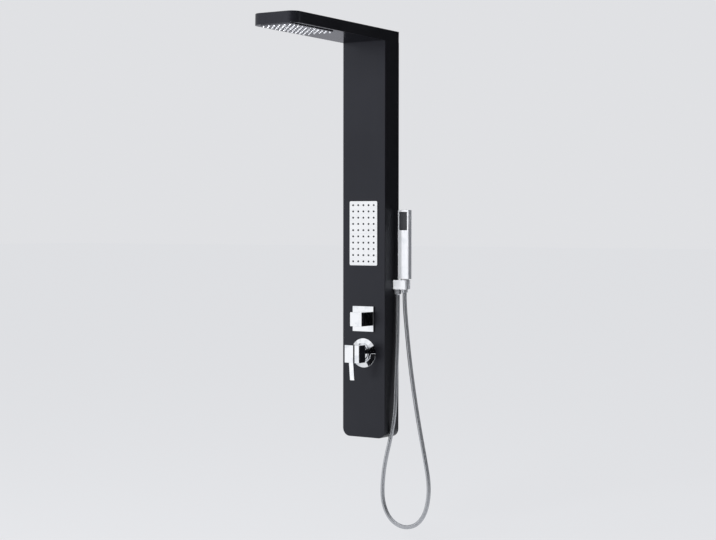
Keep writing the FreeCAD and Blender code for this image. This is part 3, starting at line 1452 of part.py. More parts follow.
def shower_hose():
    points = hose_points()
    path, radii = bent_path(points, cord_radius)
    tube = sweep(points, path, HOSE_DIAMETER)
    section = math.pi * HOSE_DIAMETER ** 2 / 4
    print("hose length %.1f, volume over section times length %.5f"
          % (path.Length, tube.Volume / (section * path.Length)))
    print("hose radii " + " ".join("%.0f" % radius for radius in radii))
    return tube


def all_parts():
    """Every node of the panel by its name."""
    return {
        "column_shell": column_shell(),
        "arm_shell": arm_shell(),
        "arm_underplate": arm_underplate(),
        "corner_gussets": corner_gussets(),
        "hanger_bars": hanger_bars(),
        "wall_brackets": wall_brackets(),
        "rain_plate": rain_plate(),
        "rain_nozzle_mat": rain_nozzle_mat(),
        "rain_chamber": rain_chamber(),
        "rain_chamber_screws": rain_chamber_screws(),
        "rain_feed_hose": rain_feed_hose(),
        "jet_plate": jet_plate(),
        "jet_nozzle_mat": jet_nozzle_mat(),
        "jet_water_box": jet_water_box(),
        "jet_nuts": jet_nuts(),
        "jet_feed_hose": jet_feed_hose(),
        "diverter_plate": diverter_plate(),
        "diverter_valve_body": diverter_valve_body(),
        "diverter_fixed_disc": diverter_fixed_disc(),
        "diverter_cartridge": diverter_cartridge(),
        "diverter_mount_nut": diverter_mount_nut(),
        "diverter_stem": diverter_stem(),
        "diverter_rotor_disc": diverter_rotor_disc(),
        "diverter_knob": diverter_knob(),
        "diverter_knob_screw": diverter_knob_screw(),
        "mixer_plate": mixer_plate(),
        "mixer_sleeve": mixer_sleeve(),
        "mixer_valve_body": mixer_valve_body(),
        "mixer_mount_nut": mixer_mount_nut(),
        "mixer_cartridge_case": mixer_cartridge_case(),
        "mixer_cartridge_nut": mixer_cartridge_nut(),
        "mixer_fixed_disc": mixer_fixed_disc(),
        "mixer_slide_disc": mixer_slide_disc(),
        "mixer_carrier": mixer_carrier(),
        "mixer_stem_pin": mixer_stem_pin(),
        "mixer_stem": mixer_stem(),
        "mixer_handle": mixer_handle(),
        "mixer_lever_bar": mixer_lever_bar(),
        "mixer_handle_screw": mixer_handle_screw(),
        "link_pipe": link_pipe(),
        "hot_supply_hose": supply_hose(-1),
        "cold_supply_hose": supply_hose(1),
        "hot_supply_nut": supply_nut(-1),
        "cold_supply_nut": supply_nut(1),
        "hand_feed_hose": hand_feed_hose(),
        "union_nuts": union_nuts(),
        "holder_block": holder_block(),
        "holder_shank": holder_shank(),
        "holder_washer": holder_washer(),
        "holder_locknut": holder_locknut(),
        "holder_elbow": holder_elbow(),
        "hose_nut": hose_nut(),
        "hose_lower_tail": hose_lower_tail(),
        "shower_hose": shower_hose(),
        "hose_upper_tail": hose_upper_tail(),
        "handset_cone_nut": handset_cone_nut(),
        "handset_body": handset_body(),
        "handset_spray_face": handset_spray_face(),
        "handset_nipple": handset_nipple(),
        "handset_washer": handset_washer(),
    }


os.makedirs("parts", exist_ok=True)
for name, shape in all_parts().items():
    shape.exportStep("parts/" + name + ".step")
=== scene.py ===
import logging
import math
from dataclasses import dataclass
from enum import Enum

import bpy
import numpy as np
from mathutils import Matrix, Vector


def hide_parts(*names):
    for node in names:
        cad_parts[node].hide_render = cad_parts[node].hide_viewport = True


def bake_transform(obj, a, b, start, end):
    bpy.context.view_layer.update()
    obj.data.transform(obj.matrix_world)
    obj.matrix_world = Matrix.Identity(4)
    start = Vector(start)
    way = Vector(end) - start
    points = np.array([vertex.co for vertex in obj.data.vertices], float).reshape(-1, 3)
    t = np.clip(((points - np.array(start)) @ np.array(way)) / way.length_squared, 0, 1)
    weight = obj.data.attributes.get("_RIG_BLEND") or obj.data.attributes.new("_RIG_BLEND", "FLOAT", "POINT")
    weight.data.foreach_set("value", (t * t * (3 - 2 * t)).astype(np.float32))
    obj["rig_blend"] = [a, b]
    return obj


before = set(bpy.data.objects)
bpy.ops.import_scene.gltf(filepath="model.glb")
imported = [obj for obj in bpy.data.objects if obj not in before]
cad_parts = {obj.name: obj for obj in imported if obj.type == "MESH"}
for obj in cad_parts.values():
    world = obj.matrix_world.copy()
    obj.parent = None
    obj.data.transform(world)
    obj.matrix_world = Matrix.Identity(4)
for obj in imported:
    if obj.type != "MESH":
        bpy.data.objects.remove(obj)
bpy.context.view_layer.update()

logging.basicConfig(level=logging.INFO, format="%(message)s")
log = logging.getLogger("shower_panel")

Point = tuple[float, float, float]
Colour = tuple[float, float, float, float]


class Slot(Enum):
    """The record's material slots."""

    BLACK_PANEL = "black_panel"
    POLISHED_STEEL = "polished_steel"
    GALVANISED_STEEL = "galvanised_steel"
    CHROME = "chrome"
    PLATED_PLASTIC = "plated_plastic"
    JET_PLATE_STEEL = "jet_plate_steel"
    GREY_SILICONE = "grey_silicone"
    DARK_PLASTIC = "dark_plastic"
    WHITE_PLASTIC = "white_plastic"
    CARTRIDGE_PLASTIC = "cartridge_plastic"
    CERAMIC = "ceramic"
    BRASS = "brass"
    STEEL_FASTENERS = "steel_fasteners"
    INNER_HOSE = "inner_hose"
    METAL_HOSE = "metal_hose"
    RUBBER_WASHER = "rubber_washer"


class Body(Enum):
    """The CAD bodies that pieces ride on."""

    PANEL = "panel"
    HOSE_END = "hose_end"


class Grain(Enum):
    """The direction in which a sheet was brushed, as how far each axis is stretched."""

    LENGTHWAYS = (1.0, 1.0, 0.02)
    CROSSWAYS = (0.02, 1.0, 1.0)
    NONE = (1.0, 1.0, 1.0)


def tint(red: int, green: int, blue: int) -> Colour:
    """Turn a display colour into the linear colour that shaders take.

    Args:
        red: Red from 0 to 255.
        green: Green from 0 to 255.
        blue: Blue from 0 to 255.

    Returns:
        The linear colour with full alpha.
    """
    linear = []
    for value in (red, green, blue):
        share = value / 255
        linear.append(share / 12.92 if share <= 0.04045 else ((share + 0.055) / 1.055) ** 2.4)
    return (linear[0], linear[1], linear[2], 1.0)


class Signal:
    """A socket of a shader graph. Arithmetic on it adds Math nodes."""

    def __init__(self, board: "Board", socket: bpy.types.NodeSocket) -> None:
        """Keep the graph and the socket."""
        self.board = board
        self.socket = socket

    def __add__(self, other: "Signal | float") -> "Signal":
        """Add a signal or a number."""
        return self.board.combine("ADD", self, other)

    def __sub__(self, other: "Signal | float") -> "Signal":
        """Take a signal or a number away."""
        return self.board.combine("SUBTRACT", self, other)

    def __rsub__(self, other: float) -> "Signal":
        """Take this signal away from a number."""
        return self.board.combine("SUBTRACT", other, self)

    def __mul__(self, other: "Signal | float") -> "Signal":
        """Multiply by a signal or a number."""
        return self.board.combine("MULTIPLY", self, other)

    def __abs__(self) -> "Signal":
        """Drop the sign."""
        return self.board.combine("ABSOLUTE", self, 0.0)

    def larger(self, other: "Signal | float") -> "Signal":
        """Keep the larger of the two."""
        return self.board.combine("MAXIMUM", self, other)

    def fraction(self) -> "Signal":
        """Keep what stands after the decimal point."""
        return self.board.combine("FRACT", self, 0.0)

    __radd__ = __add__
    __rmul__ = __mul__


class Board:
    """The node graph of one material or world."""

    def __init__(self, owner: "bpy.types.Material | bpy.types.World") -> None:
        """Clear the owner's graph and keep it.

        Args:
            owner: The material or world.
        """
        owner.use_nodes = True
        self.tree = owner.node_tree
        self.tree.nodes.clear()

    def add(self, kind: str, settings: dict, inputs: dict, output: "str | int" = 0) -> Signal:
        """Add a node.

        Args:
            kind: The node's type.
            settings: Its own settings, set before its sockets.
            inputs: Values or signals by socket name or number.
            output: The socket that is returned.

        Returns:
            The chosen output as a signal.
        """
        node = self.tree.nodes.new(kind)
        for name, value in settings.items():
            setattr(node, name, value)
        for name, value in inputs.items():
            if isinstance(value, Signal):
                self.tree.links.new(value.socket, node.inputs[name])
            else:
                node.inputs[name].default_value = value
        return Signal(self, node.outputs[output]) if node.outputs else Signal(self, node.inputs[0])

    def combine(self, operation: str, first: "Signal | float", second: "Signal | float") -> Signal:
        """Add a Math node on two values."""
        return self.add("ShaderNodeMath", {"operation": operation}, {0: first, 1: second})

    def where(self, stretch: Point = (1.0, 1.0, 1.0), source: str = "Object") -> Signal:
        """Read a piece's own coordinates.

        Args:
            stretch: How much each axis counts.
            source: The coordinate output, Object or UV.

        Returns:
            The stretched coordinates.
        """
        spot = self.add("ShaderNodeTexCoord", {}, {}, source)
        return self.add("ShaderNodeVectorMath", {"operation": "MULTIPLY"}, {0: spot, 1: stretch})

    def noise(self, spot: Signal, scale: float, detail: float = 2.0) -> Signal:
        """Add a noise from 0 to 1 of a scale in waves per metre."""
        return self.add("ShaderNodeTexNoise", {}, {"Vector": spot, "Scale": scale, "Detail": detail})

    def waves(self, spot: Signal, scale: float, direction: str) -> Signal:
        """Add sine bands of a scale in waves per metre across X, Y, Z or the diagonal."""
        settings = {"wave_type": "BANDS", "bands_direction": direction}
        return self.add("ShaderNodeTexWave", settings, {"Vector": spot, "Scale": scale}, "Fac")

    def ease(self, value: Signal, low: float, high: float) -> Signal:
        """Rise smoothly from 0 at low to 1 at high."""
        settings = {"interpolation_type": "SMOOTHSTEP"}
        return self.add("ShaderNodeMapRange", settings, {"Value": value, 1: low, 2: high})

    def shade(self, factor: Signal, first: Colour, second: Colour) -> Signal:
        """Mix two colours by a signal."""
        return self.add("ShaderNodeMix", {"data_type": "RGBA"}, {0: factor, 6: first, 7: second}, 2)

    def relief(self, height: Signal, depth: float, strength: float = 1.0) -> Signal:
        """Turn a height from 0 to 1 into a normal, over a depth in metres."""
        inputs = {"Height": height, "Distance": depth, "Strength": strength}
        return self.add("ShaderNodeBump", {}, inputs)

    def close(self, inputs: dict) -> None:
        """Add the surface shader with these sockets and join it to the output."""
        surface = self.add("ShaderNodeBsdfPrincipled", {}, inputs)
        self.add("ShaderNodeOutputMaterial", {}, {"Surface": surface})


@dataclass(frozen=True)
class Finish:
    """What a surface is made of."""

    name: str
    tone: Colour

    def paint(self, board: Board) -> None:
        """Fill the graph; each kind of finish has its own."""
        raise NotImplementedError

    def material(self) -> bpy.types.Material:
        """Build the material.

        Returns:
            The finished material.
        """
        material = bpy.data.materials.new(self.name)
        self.paint(Board(material))
        material.diffuse_color = self.tone
        return material


@dataclass(frozen=True)
class SatinCoat(Finish):
    """A fine satin powder coat baked on sheet steel."""

    sheen_tone: Colour = tint(21, 21, 25)
    gloss_tone: Colour = tint(236, 240, 255)
    gloss: float = 0.46
    roughness: float = 0.37
    cloud_scale: float = 5.0
    fleck_scale: float = 1400.0
    pebble_scale: float = 420.0
    pebble_depth: float = 0.00003
    smear_scale: float = 22.0
    smear_stretch: Point = (1.0, 1.0, 0.25)

    def paint(self, board: Board) -> None:
        """Cloud the tone, pebble the surface and let the sheen drift.

        Args:
            board: The material's graph.
        """
        spot = board.where()
        cloud = board.noise(spot, self.cloud_scale, 3.0)
        fleck = board.noise(spot, self.fleck_scale, 1.0)
        pebble = board.noise(spot, self.pebble_scale, 2.0)
        smear = board.noise(board.where(self.smear_stretch), self.smear_scale, 4.0)
        drift = board.ease(0.7 * cloud + 0.3 * fleck, 0.32, 0.68)
        board.close({
            "Base Color": board.shade(drift, self.tone, self.sheen_tone),
            "Specular IOR Level": self.gloss,
            "Specular Tint": self.gloss_tone,
            "Roughness": self.roughness + 0.10 * (smear - 0.5) + 0.05 * (fleck - 0.5),
            "Normal": board.relief(0.75 * pebble + 0.25 * fleck, self.pebble_depth),
        })


@dataclass(frozen=True)
class Plating(Finish):
    """Bright plating, with a faint haze, wiping marks and a trace of dried water."""

    haze_tone: Colour = tint(224, 227, 231)
    roughness: float = 0.05
    haze: float = 0.06
    ripple: float = 0.000004
    mirror: float = 1.0
    haze_scale: float = 38.0
    wipe_scale: float = 900.0
    wipe_stretch: Point = (1.0, 1.0, 0.06)
    drop_scale: float = 260.0
    ripple_scale: float = 55.0

    def paint(self, board: Board) -> None:
        """Lay haze, wiping marks and a slow ripple on the mirror.

        Args:
            board: The material's graph.
        """
        spot = board.where()
        haze = board.ease(board.noise(spot, self.haze_scale, 4.0), 0.46, 0.74)
        wipes = board.ease(board.noise(board.where(self.wipe_stretch), self.wipe_scale), 0.60, 0.80)
        drops = board.ease(board.noise(spot, self.drop_scale, 1.0), 0.70, 0.76)
        ripple = board.noise(spot, self.ripple_scale, 1.0)
        marks = haze.larger(0.5 * drops)
        board.close({
            "Base Color": board.shade(marks, self.tone, self.haze_tone),
            "Metallic": self.mirror,
            "Roughness": self.roughness + self.haze * marks + 0.04 * wipes,
            "Normal": board.relief(ripple, self.ripple),
        })


@dataclass(frozen=True)
class BrushedSheet(Finish):
    """Steel sheet with fine brushing along one way."""

    groove_tone: Colour = tint(150, 153, 158)
    roughness: float = 0.22
    grain: Grain = Grain.LENGTHWAYS
    edge_tone: Colour = tint(255, 255, 255)
    scratch_scale: float = 2600.0
    scratch_depth: float = 0.000006
    broad_scale: float = 320.0
    cloud_scale: float = 9.0

    def paint(self, board: Board) -> None:
        """Draw long fine scratches over a slowly changing sheen.

        Args:
            board: The material's graph.
        """
        lines = board.noise(board.where(self.grain.value), self.scratch_scale, 3.0)
        broad = board.noise(board.where(self.grain.value), self.broad_scale)
        cloud = board.noise(board.where(), self.cloud_scale, 3.0)
        depth = board.ease(0.6 * lines + 0.4 * broad, 0.34, 0.66)
        board.close({
            "Base Color": board.shade(depth, self.tone, self.groove_tone),
            "Specular Tint": self.edge_tone,
            "Metallic": 1.0,
            "Roughness": self.roughness + 0.08 * (depth - 0.5) + 0.10 * (cloud - 0.5),
            "Normal": board.relief(depth, self.scratch_depth),
        })


@dataclass(frozen=True)
class SpangledZinc(Finish):
    """Hot-dipped zinc with its crystal spangle."""

    dark_tone: Colour = tint(122, 127, 132)
    crystal_scale: float = 110.0
    bloom_scale: float = 60.0
    depth: float = 0.00002

    def paint(self, board: Board) -> None:
        """Shade each crystal on its own and dull the whole a little.

        Args:
            board: The material's graph.
        """
        crystals = {"Vector": board.where(), "Scale": self.crystal_scale}
        crystal = board.add("ShaderNodeTexVoronoi", {}, crystals, "Color")
        level = board.add("ShaderNodeSeparateColor", {}, {"Color": crystal}, "Red")
        bloom = board.noise(board.where(), self.bloom_scale, 4.0)
        board.close({
            "Base Color": board.shade(level, self.tone, self.dark_tone),
            "Metallic": 0.85,
            "Roughness": 0.34 + 0.16 * level + 0.16 * (bloom - 0.5),
            "Normal": board.relief(0.4 * level + 0.6 * bloom, self.depth),
        })


@dataclass(frozen=True)
class Moulding(Finish):
    """Moulded plastic, rubber or ceramic."""

    mottle_tone: Colour
    roughness: float
    texture_scale: float = 1500.0
    texture_depth: float = 0.00001
    coat: float = 0.0
    cloud_scale: float = 45.0

    def paint(self, board: Board) -> None:
        """Mottle the tone, add the mould's texture and uneven gloss.

        Args:
            board: The material's graph.
        """
        spot = board.where()
        cloud = board.noise(spot, self.cloud_scale, 4.0)
        speck = board.noise(spot, self.texture_scale)
        mottle = board.ease(0.6 * cloud + 0.4 * speck, 0.3, 0.7)
        board.close({
            "Base Color": board.shade(mottle, self.tone, self.mottle_tone),
            "Roughness": self.roughness + 0.12 * (cloud - 0.5) + 0.06 * (speck - 0.5),
            "Coat Weight": self.coat,
            "Normal": board.relief(speck, self.texture_depth),
        })


@dataclass(frozen=True)
class CastBrass(Finish):
    """Cast brass with a sand-blasted skin and a little tarnish."""

    tarnish_tone: Colour = tint(120, 88, 44)
    sand_scale: float = 1300.0
    sand_depth: float = 0.00005
    patch_scale: float = 70.0

    def paint(self, board: Board) -> None:
        """Roughen the casting and darken it in patches.

        Args:
            board: The material's graph.
        """
        spot = board.where()
        sand = board.noise(spot, self.sand_scale, 3.0)
        patch = board.ease(board.noise(spot, self.patch_scale, 5.0), 0.5, 0.78)
        board.close({
            "Base Color": board.shade(patch, self.tone, self.tarnish_tone),
            "Metallic": 0.95,
            "Roughness": 0.34 + 0.2 * patch + 0.14 * (sand - 0.5),
            "Normal": board.relief(sand, self.sand_depth),
        })


@dataclass(frozen=True)
class Braid(Finish):
    """Steel wires braided over a rubber pipe."""

    gap_tone: Colour = tint(46, 48, 51)
    wire_scale: float = 150.0
    wire_slant: float = 0.7
    wire_depth: float = 0.00035
    grime_scale: float = 90.0

    def paint(self, board: Board) -> None:
        """Cross two sets of slanting wires.

        Args:
            board: The material's graph.
        """
        right = board.waves(board.where((1.0, 1.0, self.wire_slant)), self.wire_scale, "DIAGONAL")
        left = board.waves(board.where((-1.0, -1.0, self.wire_slant)), self.wire_scale, "DIAGONAL")
        wires = board.ease(right.larger(left), 0.35, 0.9)
        grime = board.noise(board.where(), self.grime_scale, 3.0)
        board.close({
            "Base Color": board.shade(wires, self.gap_tone, self.tone),
            "Metallic": 0.9,
            "Roughness": 0.46 - 0.18 * wires + 0.12 * (grime - 0.5),
            "Normal": board.relief(wires, self.wire_depth),
        })


@dataclass(frozen=True)
class WoundStrip(Finish):
    """Bright steel strip wound into a hose, with painted shade darkening its grooves."""

    # Painted shade: this dark groove colour stands in for the shade that falls in each turn's groove.
    groove_tone: Colour = tint(58, 60, 64)
    roughness: float = 0.12
    mirror: float = 0.88
    groove_start: float = 0.38
    groove_floor: float = 0.48
    scuff_scale: float = 3.0
    scuff_stretch: Point = (6.0, 0.4, 1.0)
    scuff_depth: float = 0.00001

    def paint(self, board: Board) -> None:
        """Paint shade into the groove of each turn and scuff the crowns.

        Args:
            board: The material's graph.
        """
        along = board.add("ShaderNodeSeparateXYZ", {}, {"Vector": board.where(source="UV")}, "Y")
        groove = board.ease(abs(along.fraction() - 0.5), self.groove_start, self.groove_floor)
        scuff = board.noise(board.where(self.scuff_stretch, "UV"), self.scuff_scale, 4.0)
        board.close({
            # Base colour carries painted shade in the grooves; the groove mask also roughens them.
            "Base Color": board.shade(groove, self.tone, self.groove_tone),
            "Metallic": self.mirror,
            "Roughness": self.roughness + 0.16 * groove + 0.08 * (scuff - 0.5),
            "Normal": board.relief(scuff, self.scuff_depth),
        })


class Palette:
    """Every finish of the panel, built once and shared."""

    finishes = {
        Slot.BLACK_PANEL: SatinCoat("satin_black", tint(15, 15, 19)),
        # Painted reflection: polished steel's tones are darker than bare steel, standing in for the dark
        # surroundings it mirrors.
        Slot.POLISHED_STEEL: BrushedSheet("polished_steel", tint(148, 149, 154), tint(130, 131, 136),
                                          roughness=0.16, edge_tone=tint(176, 176, 180)),
        Slot.GALVANISED_STEEL: SpangledZinc("galvanised_steel", tint(168, 173, 178)),
        Slot.CHROME: Plating("chrome", tint(244, 245, 247)),
        Slot.PLATED_PLASTIC: Plating("plated_plastic", tint(246, 247, 250), tint(232, 234, 238),
                                     roughness=0.10, mirror=0.4),
        Slot.JET_PLATE_STEEL: BrushedSheet("jet_plate_steel", tint(246, 247, 248), tint(232, 233, 235),
                                           roughness=0.18, grain=Grain.CROSSWAYS),
        Slot.GREY_SILICONE: Moulding("grey_silicone", tint(66, 68, 72), tint(54, 56, 60), roughness=0.55),
        Slot.DARK_PLASTIC: Moulding("dark_plastic", tint(52, 54, 58), tint(42, 43, 47), roughness=0.32),
        Slot.WHITE_PLASTIC: Moulding("white_plastic", tint(226, 227, 224), tint(214, 215, 211),
                                     roughness=0.4),
        Slot.CARTRIDGE_PLASTIC: Moulding("cartridge_plastic", tint(78, 82, 88), tint(66, 70, 75),
                                         roughness=0.42),
        Slot.CERAMIC: Moulding("ceramic", tint(236, 232, 222), tint(226, 221, 210), roughness=0.18,
                               texture_scale=2200.0, texture_depth=0.000003, coat=0.3),
        Slot.BRASS: CastBrass("brass", tint(196, 158, 92)),
        Slot.STEEL_FASTENERS: BrushedSheet("steel_fasteners", tint(196, 199, 203), tint(158, 161, 166),
                                           roughness=0.3, grain=Grain.NONE),
        Slot.INNER_HOSE: Braid("inner_hose", tint(188, 192, 196)),
        Slot.METAL_HOSE: WoundStrip("metal_hose", tint(198, 200, 204)),
        Slot.RUBBER_WASHER: Moulding("rubber_washer", tint(32, 32, 33), tint(24, 24, 25), roughness=0.6),
    }
    satin_chrome = Plating("satin_chrome", tint(216, 218, 222), tint(196, 198, 202), roughness=0.22,
                           mirror=0.7)

    def __init__(self) -> None:
        """Start with no material built."""
        self.built: dict[Finish, bpy.types.Material] = {}

    def of(self, slot: Slot) -> bpy.types.Material:
        """Return a slot's material."""
        return self.special(self.finishes[slot])

    def special(self, finish: Finish) -> bpy.types.Material:
        """Return a finish's material, built on first use.

        Args:
            finish: The finish.

        Returns:
            Its material.
        """
        if finish not in self.built:
            self.built[finish] = finish.material()
        return self.built[finish]


@dataclass
class Assembly:
    """A group of pieces that is built and dressed together."""

    palette: Palette

    def build(self) -> None:
        """Build the group's own meshes; most groups are CAD nodes alone."""

    def dress(self) -> None:
        """Give each node the finish of its record slot."""
        raise NotImplementedError

    def coat(self, material: bpy.types.Material, *nodes: str) -> None:
        """Give CAD nodes a material.

        Args:
            material: The material.
            nodes: The nodes' names.
        """
        for node in nodes:
            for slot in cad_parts[node].material_slots:
                slot.material = material
            log.info("dressed %s in %s", node, material.name)

    def make(self) -> None:
        """Build and dress the group."""
        self.build()
        self.dress()


@dataclass
class PanelColumn(Assembly):
    """The column and arm shells with what stiffens and hangs them."""

    def dress(self) -> None:
        """Satin black outside, zinc inside."""
        self.coat(self.palette.of(Slot.BLACK_PANEL), "column_shell", "arm_shell")
        self.coat(self.palette.of(Slot.GALVANISED_STEEL), "corner_gussets", "hanger_bars", "wall_brackets")


@dataclass
class RainHead(Assembly):
    """The arm's underside plate, the rain plate and its water chamber."""

    nozzles: Moulding = Moulding("pearl_silicone", tint(238, 239, 242), tint(224, 226, 231), roughness=0.4)

    def dress(self) -> None:
        """Polished plates, pale nozzles, and a white chamber above."""
        self.coat(self.palette.of(Slot.POLISHED_STEEL), "arm_underplate", "rain_plate")
        self.coat(self.palette.special(self.nozzles), "rain_nozzle_mat")
        self.coat(self.palette.of(Slot.WHITE_PLASTIC), "rain_chamber")
        self.coat(self.palette.of(Slot.STEEL_FASTENERS), "rain_chamber_screws")
        self.coat(self.palette.of(Slot.INNER_HOSE), "rain_feed_hose")


@dataclass
class BodyJets(Assembly):
    """The body-jet plate with its nozzles and water box."""

    def dress(self) -> None:
        """Bright plate and grey nozzles."""
        self.coat(self.palette.of(Slot.JET_PLATE_STEEL), "jet_plate")
        self.coat(self.palette.of(Slot.GREY_SILICONE), "jet_nozzle_mat")
        self.coat(self.palette.of(Slot.WHITE_PLASTIC), "jet_water_box")
        self.coat(self.palette.of(Slot.STEEL_FASTENERS), "jet_nuts")
        self.coat(self.palette.of(Slot.INNER_HOSE), "jet_feed_hose")


@dataclass
class DiverterControl(Assembly):
    """The square plate and knob that choose the outlet."""

    def dress(self) -> None:
        """Plated outside, brass and ceramic inside."""
        self.coat(self.palette.of(Slot.CHROME), "diverter_plate", "diverter_knob")
        self.coat(self.palette.of(Slot.BRASS), "diverter_valve_body", "diverter_mount_nut", "diverter_stem")
        self.coat(self.palette.of(Slot.CARTRIDGE_PLASTIC), "diverter_cartridge")
        self.coat(self.palette.of(Slot.CERAMIC), "diverter_fixed_disc", "diverter_rotor_disc")
        self.coat(self.palette.of(Slot.STEEL_FASTENERS), "diverter_knob_screw")


@dataclass
class MixerControl(Assembly):
    """The lever mixer with its cartridge."""

    def dress(self) -> None:
        """Chrome outside, brass and ceramic inside."""
        self.coat(self.palette.of(Slot.CHROME), "mixer_plate", "mixer_sleeve", "mixer_handle",
                  "mixer_lever_bar")
        self.coat(self.palette.of(Slot.BRASS), "mixer_valve_body", "mixer_mount_nut", "mixer_cartridge_nut",
                  "mixer_stem")
        self.coat(self.palette.of(Slot.CARTRIDGE_PLASTIC), "mixer_cartridge_case", "mixer_carrier")
        self.coat(self.palette.of(Slot.CERAMIC), "mixer_fixed_disc", "mixer_slide_disc")
        self.coat(self.palette.of(Slot.STEEL_FASTENERS), "mixer_stem_pin", "mixer_handle_screw")


@dataclass
class WaterLines(Assembly):
    """The supply hoses and the pipes between the fittings."""

    def dress(self) -> None:
        """Braided hoses and brass nuts."""
        self.coat(self.palette.of(Slot.INNER_HOSE), "hot_supply_hose", "cold_supply_hose", "hand_feed_hose",
                  "link_pipe")
        self.coat(self.palette.of(Slot.BRASS), "union_nuts", "hot_supply_nut", "cold_supply_nut")


@dataclass
class HandShowerHolder(Assembly):
    """The block that feeds the hose and cradles the hand shower."""

    block: Plating = Plating("holder_chrome", tint(246, 247, 250), tint(232, 234, 238), roughness=0.10,
                             mirror=0.12)

    def dress(self) -> None:
        """Chrome block on brass fittings."""
        self.coat(self.palette.special(self.block), "holder_block")
        self.coat(self.palette.special(self.palette.satin_chrome), "hose_nut")
        self.coat(self.palette.of(Slot.RUBBER_WASHER), "holder_washer")
        self.coat(self.palette.of(Slot.BRASS), "holder_shank", "holder_locknut", "holder_elbow",
                  "hose_lower_tail", "hose_upper_tail")


@dataclass
class HandShower(Assembly):
    """The bar-shaped hand shower."""

    def dress(self) -> None:
        """Plated body with a dark spray face."""
        self.coat(self.palette.of(Slot.PLATED_PLASTIC), "handset_body")
        self.coat(self.palette.special(self.palette.satin_chrome), "handset_cone_nut")
        self.coat(self.palette.of(Slot.DARK_PLASTIC), "handset_spray_face")
        self.coat(self.palette.of(Slot.BRASS), "handset_nipple")
        self.coat(self.palette.of(Slot.RUBBER_WASHER), "handset_washer")


